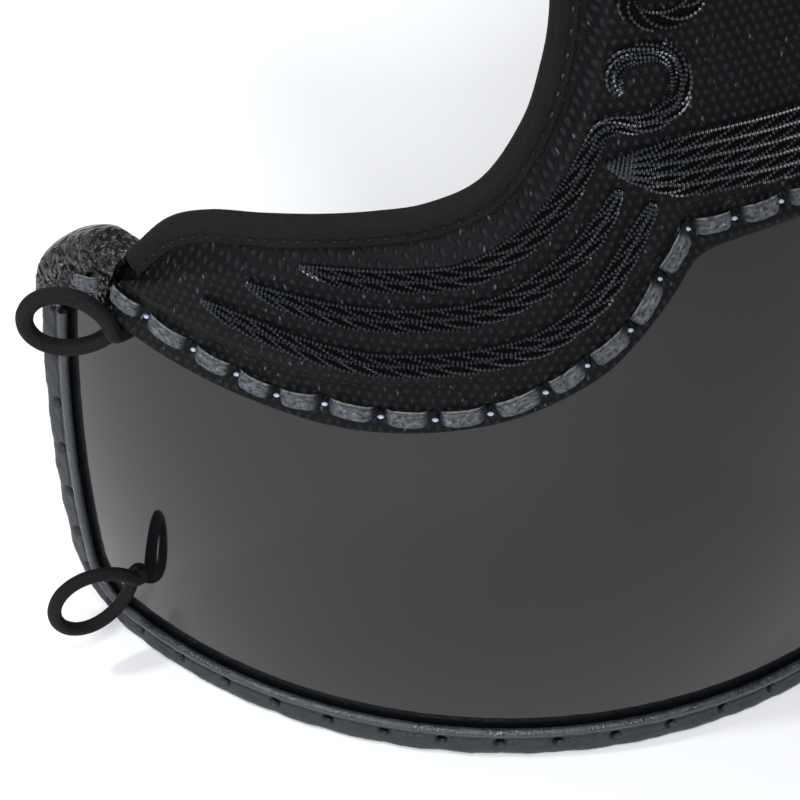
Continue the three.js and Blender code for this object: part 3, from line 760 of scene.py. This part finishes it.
raised = add_node(tree, "MapRange",
                  {"interpolation_type": "SMOOTHSTEP", "From Min": 0.3, "From Max": 1.8},
                  {"Value": grains})
relief = add_node(tree, "Mix", {"data_type": "FLOAT", 0: 0.32}, {2: raised, 3: threads})
surface = add_node(tree, "Bump", {"Strength": 0.9, "Distance": 0.0006}, {"Height": relief})
# Raised grains painted lighter and hollows darker: painted highlight and painted shade
painted_grain_light = add_node(tree, "MapRange", {"From Min": 0.15, "From Max": 0.75}, {"Value": relief})
shade = add_node(tree, "Mix", {"data_type": "RGBA", 6: linear("#020203"), 7: linear("#141619")},
                 {0: painted_grain_light})
# Lint is finer than a pixel, so its hairs are drawn a millimetre long
strewn = add_node(tree, "Mapping", {"Scale": (0.34, 0.16, 1), "Rotation": (0, 0, 0.5)},
                  {"Vector": pulled})
lint = add_node(tree, "TexVoronoi", {"Scale": 1, "Randomness": 1}, {"Vector": strewn})
hairs = add_node(tree, "MapRange", {"From Min": 0.14, "From Max": 0.06, "To Min": 0, "To Max": 0.16},
                 {"Value": lint})
linted = add_node(tree, "Mix", {"data_type": "RGBA", 7: linear("#a8adb2")},
                  {0: hairs, 6: shade.outputs[2]})
feed(shader, Normal=surface, Base_Color=linted.outputs[2])

panel = bmesh.new()
lay_grid(panel, panel_columns, panel_round, panel_place, panel_pattern)
padded_panel = add_piece("padded_chest_panel", panel, cotton, ["chest_panel"])

# Edging cloth.
# A bias strip of plain warm-black cotton folded over the armholes and neckline and sewn down through both
# sides, one row of small stitches near its inner edge.

# Plain-woven warm black cotton tape, washed soft: matt, with shallow rumples and a fine thread
edging, tree, shader, where = new_material("plain_black_cotton_tape", "UV", IOR=1.5, Roughness=0.78,
                                           Specular_IOR_Level=0.16)
rumple = add_node(tree, "TexNoise", {"Scale": 0.4, "Detail": 5, "Distortion": 0.6}, {"Vector": where})
yarn = add_node(tree, "TexWave",
                {"Scale": 0.6, "Distortion": 2.5, "Detail": 2, "bands_direction": "DIAGONAL"},
                {"Vector": where})
relief = add_node(tree, "Mix", {"data_type": "FLOAT", 0: 0.25}, {2: rumple, 3: yarn.outputs["Fac"]})
surface = add_node(tree, "Bump", {"Strength": 0.7, "Distance": 0.0009}, {"Height": relief})
shade = add_node(tree, "Mix", {"data_type": "RGBA", 6: linear("#070506"), 7: linear("#1a1517")},
                 {0: relief})
feed(shader, Normal=surface, Base_Color=shade.outputs[2])

edging_columns = 640
edging_stations = {}
for column in range(edging_columns + 1):
    share = column / edging_columns
    run = curve_run(upper_line, min(max(share, 2e-4), 1 - 2e-4))
    edging_stations[share] = (curve_point(upper_line, share), Vector((-run.y, run.x)))
edging_lengths = {0: 0}
for column in range(1, edging_columns + 1):
    before, share = (column - 1) / edging_columns, column / edging_columns
    step = (edging_stations[share][0] - edging_stations[before][0]).length
    edging_lengths[share] = edging_lengths[before] + step
edging_face = 2 * gap + panel_rim + edging_cloth
seam_depth = edging_width - 1.7
seam_pitch = 5.8
stitch_length = 1.5
thread_radius = 0.3
edging_nose = 2.6


def edging_relief(length, depth):
    """How far the tape's face sinks along its seam and at each stitch, and rumples between them."""
    along = length % seam_pitch
    from_stitch = math.hypot(min(along, seam_pitch - along), depth - seam_depth)
    stitch = 0.8 * math.exp(-(from_stitch / 1.1) ** 2)
    seam = 0.5 * math.exp(-((depth - seam_depth) / 0.8) ** 2)
    return stitch + seam + 0.3 * noise.noise(Vector((length / 9, depth / 5, 0)))


edging_sections = {}
for share, length in edging_lengths.items():
    edging_sections[share] = fold_section(edging_face, -edging_cloth, edging_cloth, edging_nose,
                                          edging_width, lambda depth: edging_relief(length, depth))
edging_rows = len(edging_sections[0])


def edging_place(share, round_share):
    point, inward = edging_stations[share]
    depth, out = edging_sections[share][round(round_share * edging_rows) % edging_rows]
    at = point + inward * depth
    return on_body(at.x, at.y, out)


tape = bmesh.new()
lay_grid(tape, edging_columns, edging_rows, edging_place,
         lambda share, round_share: (edging_lengths[share], round_share * 30))
edging_tape = add_piece("edging_tape", tape, edging, ["panel_edging"])

# Waxed polyester thread, twisted and pulled tight: each twist's crest is painted lighter, a row of small
# painted highlights
thread, tree, shader, where = new_material("waxed_black_thread", "UV", IOR=1.5, Roughness=0.3)
twist = add_node(tree, "TexWave", {"Scale": 1.1, "Distortion": 0.4, "bands_direction": "DIAGONAL"},
                 {"Vector": where})
surface = add_node(tree, "Bump", {"Strength": 0.6, "Distance": 0.0002}, {"Height": twist.outputs["Fac"]})
# Lighter on the crest of each twist: painted highlight
shade = add_node(tree, "Mix", {"data_type": "RGBA", 6: linear("#0b0b0d"), 7: linear("#26262a")},
                 {0: twist.outputs["Fac"]})
feed(shader, Normal=surface, Base_Color=shade.outputs[2])

stitches = bmesh.new()
wanted = seam_pitch
for column in range(1, edging_columns + 1):
    share = column / edging_columns
    if edging_lengths[share] < wanted:
        continue
    wanted += seam_pitch
    point, inward = edging_stations[share]
    forward = Vector((inward.y, -inward.x))
    base = point + inward * seam_depth
    path = []
    for step in range(5):
        at = base + forward * (step / 4 - 0.5) * stitch_length
        path.append(on_body(at.x, at.y, edging_face - 1.05 + 0.4 * math.sin(math.pi * step / 4)))
    tube(stitches, path, thread_radius, 5)
add_piece("edging_stitches", stitches, thread)

# Corner leather.
# A stuffed piece of thick hide folded over each top corner of the shell, shrunk on wet, so that its glossy
# face is puckered all over.

# Thick bull hide, shrunk on wet and glazed: puckered, with each crest painted a little lighter as a painted
# highlight, and lighter and duller over the rim
hide, tree, shader, where = new_material("shrunk_black_bull_hide", "Object", IOR=1.5,
                                         Specular_IOR_Level=0.4)
cells = add_node(tree, "TexVoronoi", {"Scale": 330, "feature": "SMOOTH_F1", "Smoothness": 0.4},
                 {"Vector": where})
folds = add_node(tree, "TexNoise", {"Scale": 230, "Detail": 4, "Roughness": 0.5, "Distortion": 0.6},
                 {"Vector": where})
relief = add_node(tree, "Math", {"operation": "ADD"}, {0: cells, 1: folds})
surface = add_node(tree, "Bump", {"Strength": 1, "Distance": 0.003}, {"Height": relief})
over_rim_share = add_node(tree, "Attribute", {"attribute_name": "over_rim"})
# Crests of the folds painted lighter than the hollows: painted highlight and painted shade
painted_crest_light = add_node(tree, "Mix", {"data_type": "RGBA", 6: linear("#020202"), 7: linear("#0a0b0c")},
                  {0: folds})
# Lighter in colour where the hide turns over the rim
lighter_over_rim = add_node(tree, "Mix", {"data_type": "RGBA", 7: linear("#141517")},
                {0: over_rim_share.outputs["Fac"], 6: painted_crest_light.outputs[2]})
glaze = add_node(tree, "MapRange", {"To Min": 0.09, "To Max": 0.2}, {"Value": over_rim_share.outputs["Fac"]})
feed(shader, Normal=surface, Base_Color=lighter_over_rim.outputs[2], Roughness=glaze)

# The corner's rim and its lower edge, as shares of the reach and of the full height
corner_rims = [(0.852, 0.3875), (0.874, 0.3885), (0.9, 0.388), (0.927, 0.381), (0.952, 0.371),
               (0.975, 0.357), (0.993, 0.339), (1, 0.309)]
corner_lows = [(0.873, 0.3465), (0.888, 0.3475), (0.902, 0.348), (0.916, 0.3475), (0.932, 0.345),
               (0.947, 0.3375), (0.958, 0.326), (0.966, 0.312)]
corner_leather = 3
corner_front = gap + panel_edge
corner_back = -shell_wall - gap
corner_dome = 1.5
front_drop = 4
edge_fall = 2.2
turn_over = 2.2
# The ring's point where the hide has turned over the rim, and how many its front face has
corner_turned = 23
front_points = 30


def corner_ring(depth_all):
    """Points round the folded hide, from its lower edge behind the body over the top to its front edge."""
    points = []
    for i in range(9):
        points.append((depth_all * (1 - i / 8) + turn_over * i / 8, corner_back - corner_leather))
    nose = (corner_front - corner_back + corner_leather) / 2
    middle = (corner_front + corner_back - corner_leather) / 2
    for i in range(1, 14):
        angle = math.pi * i / 14
        points.append((turn_over * (1 - math.sin(angle)), middle - nose * math.cos(angle)))
    front_depth = depth_all + front_drop
    for i in range(front_points + 1):
        depth = turn_over + (front_depth - turn_over) * i / front_points
        dome = corner_dome * max(math.sin(math.pi * depth / front_depth), 0) ** 0.6
        fall = edge_fall * smooth_step((depth - front_depth + 4) / 4)
        points.append((depth, corner_front + dome - fall))
    points += [(front_depth, gap), (corner_leather, gap), (corner_leather, corner_back),
               (depth_all, corner_back)]
    return points


def corner_place(side, share, step):
    scale = Vector((side_reach, full_height))
    rim_point = curve_point(corner_rims, share) * scale
    low_point = curve_point(corner_lows, share) * scale
    inward = low_point - rim_point
    depth, out = corner_ring(inward.length)[step]
    at = rim_point + inward.normalized() * depth
    if corner_turned - 4 <= step < corner_turned + front_points:
        out += 0.5 * noise.noise(Vector((at.x / 4, at.y / 4, out / 6)))
        out += 0.4 * noise.noise(Vector((at.x / 1.7, at.y / 1.7, 5)))
    return on_body(side * at.x, at.y, out)


for name, side in (("right", 1), ("left", -1)):
    corner = bmesh.new()
    rows = len(corner_ring(30))
    lay_grid(corner, 120, rows,
             lambda share, round_share: corner_place(side, share, round(round_share * rows) % rows),
             lambda share, round_share: (share * 60, round_share * rows))
    over_rim = corner.verts.layers.float.new("over_rim")
    pattern_layer = corner.loops.layers.uv.verify()
    for face in corner.faces:
        for loop in face.loops:
            past_rim = loop[pattern_layer].uv.y - corner_turned
            loop.vert[over_rim] = 1 - smooth_step(past_rim / 6)
    add_piece(f"puckered_corner_{name}", corner, hide, [f"corner_leather_{name}"])

# Chest lace.
# One flat strip of undyed-edged grey hide that goes down through a hole in the panel and the shell and
# comes up again at the next one, so that an arched length lies across every gap.

lace_width = 5
lace_thickness = 1.3
lace_arch = 0.9
lace_dip = 2.8
pattern_step = 21

# Flat lace cut from undyed-edged grey hide: a fibrous grain whose brightest flecks are painted glints,
# rough pale cut edges, and painted shade at each end where it dips into its hole
lace_hide, tree, shader, where = new_material("cut_grey_lace_hide", "UV", IOR=1.46,
                                              Specular_IOR_Level=0.4)
drawn_out = add_node(tree, "Mapping", {"Scale": (0.3, 1.3, 1)}, {"Vector": where})
frayed = add_node(tree, "TexNoise", {"Scale": 1, "Detail": 6, "Roughness": 0.75}, {"Vector": drawn_out})
fibres = add_node(tree, "MapRange", {"From Min": 0.38, "From Max": 0.62}, {"Value": frayed})
across = add_node(tree, "SeparateXYZ", {}, {"Vector": where})
surface = add_node(tree, "Bump", {"Strength": 1, "Distance": 0.0007}, {"Height": fibres})
# The fibres' light flecks are partly the hide's own tone and partly painted glints, the sparkle of its
# grain
shade = add_node(tree, "Mix", {"data_type": "RGBA", 6: linear("#08090a"), 7: linear("#7a8087")},
                 {0: fibres})
from_middle = add_node(tree, "Math", {"operation": "ABSOLUTE"}, {0: across.outputs["Y"]})
ragged = add_node(tree, "Math", {"operation": "MULTIPLY_ADD", 1: 0.5}, {0: fibres, 2: from_middle})
cut_edge = add_node(tree, "MapRange", {"From Min": 2.4, "From Max": 2.7}, {"Value": ragged})
edged = add_node(tree, "Mix", {"data_type": "RGBA", 7: linear("#9a9a95")},
                 {0: cut_edge, 6: shade.outputs[2]})
around = add_node(tree, "Math", {"operation": "MULTIPLY", 1: math.pi / pattern_step},
                  {0: across.outputs["X"]})
along_length = add_node(tree, "Math", {"operation": "SINE"}, {0: around})
from_end = add_node(tree, "Math", {"operation": "ABSOLUTE"}, {0: along_length})
pulled_in = add_node(tree, "MapRange",
                     {"interpolation_type": "SMOOTHSTEP", "From Min": 0.1, "From Max": 0.55},
                     {"Value": from_end})
# Each length darkens to near black towards its ends: painted shade where it goes down into the holes
painted_end_shade = add_node(tree, "Mix", {"data_type": "RGBA", 6: linear("#040405")},
                  {0: pulled_in, 7: edged.outputs[2]})
burnish = add_node(tree, "MapRange", {"To Min": 0.6, "To Max": 0.2}, {"Value": fibres})
feed(shader, Normal=surface, Base_Color=painted_end_shade.outputs[2], Roughness=burnish)


def lace_length(bm, start, end, number):
    """One visible length of lace between two holes, as an arched strip with soft corners."""
    run = (end - start).normalized()
    across = Vector((-run.y, run.x))
    span = (end - start).length
    tilt = 0.3 * noise.noise(Vector((number * 3.7, 1, 2)))
    columns, half_round = 18, 16

    def place(share, round_share):
        angle = 2 * math.pi * (round_share % 1)
        ends = abs(2 * share - 1)
        edge = math.copysign(3, math.cos(angle))
        ragged = 0.25 * noise.noise(Vector((number * 9 + share * 7, edge, 0)))
        width = lace_width / 2 * (1 - 0.4 * ends ** 5) + ragged
        side = width * math.copysign(abs(math.cos(angle)) ** 0.35, math.cos(angle))
        high = lace_thickness / 2 * math.copysign(abs(math.sin(angle)) ** 0.5, math.sin(angle))
        arch = lace_arch * (1 - ends ** 2) - lace_dip * ends ** 8
        at = start + run * span * (0.07 + 0.86 * share) + across * side
        out = 2 * gap + panel_edge + lace_thickness / 2 + high + arch + tilt * side / 2.5
        return on_body(at.x, at.y, out)

    def pattern(share, round_share):
        return (number + share) * pattern_step, lace_width / 2 * math.cos(2 * math.pi * (round_share % 1))

    lay_grid(bm, columns, half_round, place, pattern)


lace = bmesh.new()
laced = [Vector(lace_end), *lace_holes, Vector((-lace_end[0], lace_end[1]))]
for number, (start, end) in enumerate(zip(laced, laced[1:])):
    lace_length(lace, start, end, number)
add_piece("arched_lace", lace, lace_hide, ["chest_lace"])

# A small pale bead sits on the lower lip of each punched hole and shows as a bright point: a painted glint
glint_paint, tree, shader, where = new_material("painted_hole_glint", "Object", IOR=1.5, Roughness=0.35)
pulp = add_node(tree, "TexNoise", {"Scale": 900, "Detail": 2}, {"Vector": where})
# Pale bluish white: the painted glint's colour
shade = add_node(tree, "Mix", {"data_type": "RGBA", 6: linear("#5f6f8c"), 7: linear("#c2cee2")},
                 {0: pulp})
surface = add_node(tree, "Bump", {"Strength": 0.2, "Distance": 0.0001}, {"Height": pulp})
feed(shader, Base_Color=shade.outputs[2], Normal=surface)
glint_beads = bmesh.new()
for hole in lace_holes:
    glint_bead = bmesh.ops.create_uvsphere(glint_beads, u_segments=8, v_segments=6, radius=1)["verts"]
    for vertex in glint_bead:
        vertex.co = on_body(hole.x + 1.1 * vertex.co.x, hole.y - 1.7 + 0.5 * vertex.co.y,
                            gap + panel_edge - 0.9 + 0.7 * vertex.co.z)
add_piece("painted_hole_glints", glint_beads, glint_paint)

# Cloud embroidery.
# Lustrous black twisted cord, plaited and couched down in long leaf-like laps to draw drifting clouds. Each
# band is one or more plaits of slanting cords, each plait with one straight cord along an edge, over black
# felt.

cord_radius = 0.46
plait_period = 15
cords_in_plait = 2
plait_width = 4.4
bead_sizes = 0.5, 1.3
bead_pitch = 1.35

# Glossy silk cord, hard twisted from two plies: each turn is painted as a small bright bead, a painted
# highlight, and black where they meet, painted shade.
# A real turn is under a millimetre, so the beads are drawn coarser to show
silk, tree, shader, where = new_material("hard_twisted_black_silk", "UV", IOR=1.55, Roughness=0.26,
                                         Specular_IOR_Level=0.4)
plies = add_node(tree, "TexWave", {"Scale": math.pi / 10, "bands_direction": "X"}, {"Vector": where})
surface = add_node(tree, "Bump", {"Strength": 0.5, "Distance": 0.0002}, {"Height": plies.outputs["Fac"]})
# Each bead's crest painted light and the joins between beads black: painted highlight and painted shade
painted_bead_highlight = add_node(tree, "Math", {"operation": "POWER", 1: 2.5}, {0: plies.outputs["Fac"]})
shade = add_node(tree, "Mix", {"data_type": "RGBA", 6: linear("#020203"), 7: linear("#2b2f33")},
                 {0: painted_bead_highlight})
feed(shader, Normal=surface, Base_Color=shade.outputs[2])

# Felt cut to the cloud's outline and dyed black, with a loose nap that swallows light between the cords
felt, tree, shader, where = new_material("black_wool_felt", "Object", IOR=1.5, Roughness=0.95,
                                         Specular_IOR_Level=0.05)
nap = add_node(tree, "TexNoise", {"Scale": 900, "Detail": 4}, {"Vector": where})
surface = add_node(tree, "Bump", {"Strength": 0.6, "Distance": 0.0004}, {"Height": nap})
shade = add_node(tree, "Mix", {"data_type": "RGBA", 6: linear("#020202"), 7: linear("#0a0a0b")}, {0: nap})
feed(shader, Normal=surface, Base_Color=shade.outputs[2])

seat = gap + panel_pad


def band_at(samples, distance):
    """The band's middle, the way across it and its width at a distance along it."""
    low, high = 0, len(samples) - 1
    while high - low > 1:
        middle = (low + high) // 2
        if samples[middle][0] <= distance:
            low = middle
        else:
            high = middle
    span = max(samples[high][0] - samples[low][0], 1e-6)
    part = min(max((distance - samples[low][0]) / span, 0), 1)
    return (samples[low][1].lerp(samples[high][1], part), samples[low][2].lerp(samples[high][2], part),
            samples[low][3] + (samples[high][3] - samples[low][3]) * part)


def add_cord(bm, samples, lane, start, end, side, rises):
    """One cord of a band: lane gives its place across the band, from -1 to 1, at each distance."""
    steps = max(2 * round((end - start) / bead_pitch), 2)
    path = []
    for step in range(steps + 1):
        distance = start + (end - start) * step / steps
        middle, across, width = band_at(samples, distance)
        at = middle + across * lane(distance) * max(width / 2 - cord_radius, 0.1)
        path.append(on_body(side * at.x, at.y, seat + rises(distance)))
    tube(bm, path, lambda share: cord_radius * bead_sizes[round(share * steps) % 2], 6,
         pattern_run=steps / 2)


def add_band(bm, samples, side):
    """A band of one or more plaits, over a low black ground that fills it."""
    total = samples[-1][0]
    widest = max(width for _, _, _, width in samples)
    plaits = max(round(widest / plait_width), 1)
    columns = max(int(total / 2.5), 4)

    def ground(share, round_share):
        middle, across, width = band_at(samples, share * total)
        angle = 2 * math.pi * (round_share % 1)
        at = middle + across * math.cos(angle) * width / 2 * 0.92
        return on_body(side * at.x, at.y, seat + 0.25 + 0.45 * math.sin(angle))

    lay_grid(bm, columns, 10, ground, lambda share, round_share: (share * total, round_share * 8))
    for face in bm.faces:
        face.material_index = 1
    for plait in range(plaits):
        low = -1 + 2 * plait / plaits
        high = -1 + 2 * (plait + 1) / plaits
        add_cord(bm, samples, lambda distance: high, 0, total, side, lambda distance: 1.2)
        for number in range(cords_in_plait):
            start = -plait_period * number / cords_in_plait
            while start < total:
                lap_end = start + plait_period * 0.96

                def lane(distance):
                    part = min(max((distance - start) / (lap_end - start), 0), 1)
                    swing = 0.35 * smooth_step(part) + 0.65 * part * (2 - part)
                    return high + (low - high) * swing

                def rises(distance):
                    part = (distance - start) / (lap_end - start)
                    return 0.6 + 0.7 * math.sin(math.pi * min(max(part, 0), 1))

                if min(lap_end, total) - max(start, 0) > 2:
                    add_cord(bm, samples, lane, max(start, 0), min(lap_end, total), side, rises)
                start += plait_period


shapes = [(f"cloud_finger_{number + 1}", cloud_lines[number]) for number in range(3)]
shapes.append(("cloud_scroll", cloud_lines[4]))
for shape, samples in shapes:
    for name, side in (("right", 1), ("left", -1)):
        band = bmesh.new()
        add_band(band, samples, side)
        cloud = add_piece(f"plaited_{shape}_{name}", band, silk, [f"{shape}_{name}"])
        cloud.data.materials.append(felt)
band = bmesh.new()
add_band(band, cloud_lines[3], 1)
cloud = add_piece("plaited_cloud_band", band, silk, ["cloud_band"])
cloud.data.materials.append(felt)

# Leather loops.
# Rolled and hand-sewn matt leather rings that take the tying cords. Both arms leave one hole in the wall,
# one over the other, and are knotted together behind it.

# Soft chamois-side hide rolled on itself: matt warm black, with fine lengthwise creases
rolled, tree, shader, where = new_material("matt_rolled_hide", "UV", IOR=1.46, Roughness=0.7,
                                           Specular_IOR_Level=0.2)
rolls = add_node(tree, "TexWave", {"Scale": 0.34, "Distortion": 4, "Detail": 3, "Detail Scale": 1.4,
                                   "bands_direction": "Y"}, {"Vector": where})
skin = add_node(tree, "TexNoise", {"Scale": 3, "Detail": 6, "Roughness": 0.7}, {"Vector": where})
relief = add_node(tree, "Mix", {"data_type": "FLOAT", 0: 0.7}, {2: rolls.outputs["Fac"], 3: skin})
surface = add_node(tree, "Bump", {"Strength": 0.8, "Distance": 0.0006}, {"Height": relief})
shade = add_node(tree, "Mix", {"data_type": "RGBA", 6: linear("#060506"), 7: linear("#191517")},
                 {0: relief})
feed(shader, Normal=surface, Base_Color=shade.outputs[2])

knot_size = 1.35
knot_height = 1.1
knot_roll = 1.5
loops = {
    "side_loop": {"length": 28.5, "width": 25, "roll": 3, "along": 0.867, "up": 0.322,
                  "lean": (0.67, 0.73, 0.3), "seat": 0, "inside": -shell_wall - gap},
    "waist_loop": {"length": 30.5, "width": 28.5, "roll": 2.6, "along": 0.873, "up": 0.086,
                   "lean": (0.91, 0.35, -0.21), "seat": 0, "inside": -shell_wall - gap},
    "chest_loop": {"length": 31, "width": 25, "roll": 3, "along": 0.314, "up": 0.951,
                   "lean": (0.45, 0.35, 0.82), "seat": gap + panel_pad, "inside": 0},
}


def mirror(point, side):
    return Vector((side * point.x, point.y, point.z))


def loop_path(loop, side):
    """The middle of the rolled leather, from behind the wall, round the ring and back through its hole."""
    along, up = loop["along"] * side_reach, loop["up"] * full_height
    origin = on_body(along, up, 0)
    along_wall = on_body(along + 1, up, 0) - origin
    up_wall = on_body(along, up + 1, 0) - origin
    normal = along_wall.cross(up_wall).normalized()
    turn = along / plan_radius
    outward = Vector((math.sin(turn), -math.cos(turn), 0))
    rearward = Vector((math.cos(turn), math.sin(turn), 0))
    lean = loop["lean"]
    heading = (outward * lean[0] + rearward * lean[1] + Vector((0, 0, lean[2]))).normalized()
    spread = rearward if lean[2] > lean[0] else Vector((0, 0, 1))
    rise = (spread - heading * heading.dot(spread)).normalized()
    across = heading.cross(rise)
    foot = origin + normal * (loop["seat"] + gap + loop["roll"]) / 1000
    path = []
    count = 64
    for step in range(count + 1):
        angle = 2 * math.pi * step / count
        forward = loop["length"] / 2 * (1 - math.cos(angle))
        taper = 0.62 + 0.38 * math.sin(angle / 2)
        sideways = loop["width"] / 2 * math.sin(angle) * taper
        apart = loop["roll"] * 0.8 * math.cos(angle / 2) * (1 - forward / loop["length"]) ** 2
        path.append(foot + (heading * forward + rise * sideways + across * apart) / 1000)
    first, last = path[0], path[-1]
    depth = (loop["inside"] - 1 - loop["seat"] - gap - loop["roll"]) / 1000
    start = [first + normal * depth * (1 - k / 4) for k in range(4)]
    end = [last + normal * depth * (k + 1) / 4 for k in range(4)]
    knot_middle = origin + normal * (loop["inside"] - 2) / 1000
    whole = start + path + end
    for _ in range(4):
        eased = [(a + 2 * b + c) / 4 for a, b, c in zip(whole, whole[1:], whole[2:])]
        whole = [whole[0], *eased, whole[-1]]
    return [mirror(p, side) for p in whole], mirror(knot_middle, side), mirror(normal, side)


for loop_name, loop in loops.items():
    for name, side in (("right", 1), ("left", -1)):
        ring = bmesh.new()
        path, knot_middle, normal = loop_path(loop, side)
        tube(ring, path, loop["roll"] * 0.95, 14)
        first = normal.orthogonal().normalized()
        second = normal.cross(first)
        knot_path = []
        for step in range(60):
            t = 2 * math.pi * step / 60
            knot_path.append(knot_middle + (first * (math.sin(t) + 2 * math.sin(2 * t)) * knot_size
                                            + second * (math.cos(t) - 2 * math.cos(2 * t)) * knot_size
                                            - normal * math.sin(3 * t) * knot_height) / 1000)
        tube(ring, knot_path, knot_roll, 8, closed=True)
        add_piece(f"rolled_{loop_name}_{name}", ring, rolled, [f"{loop_name}_{name}"])
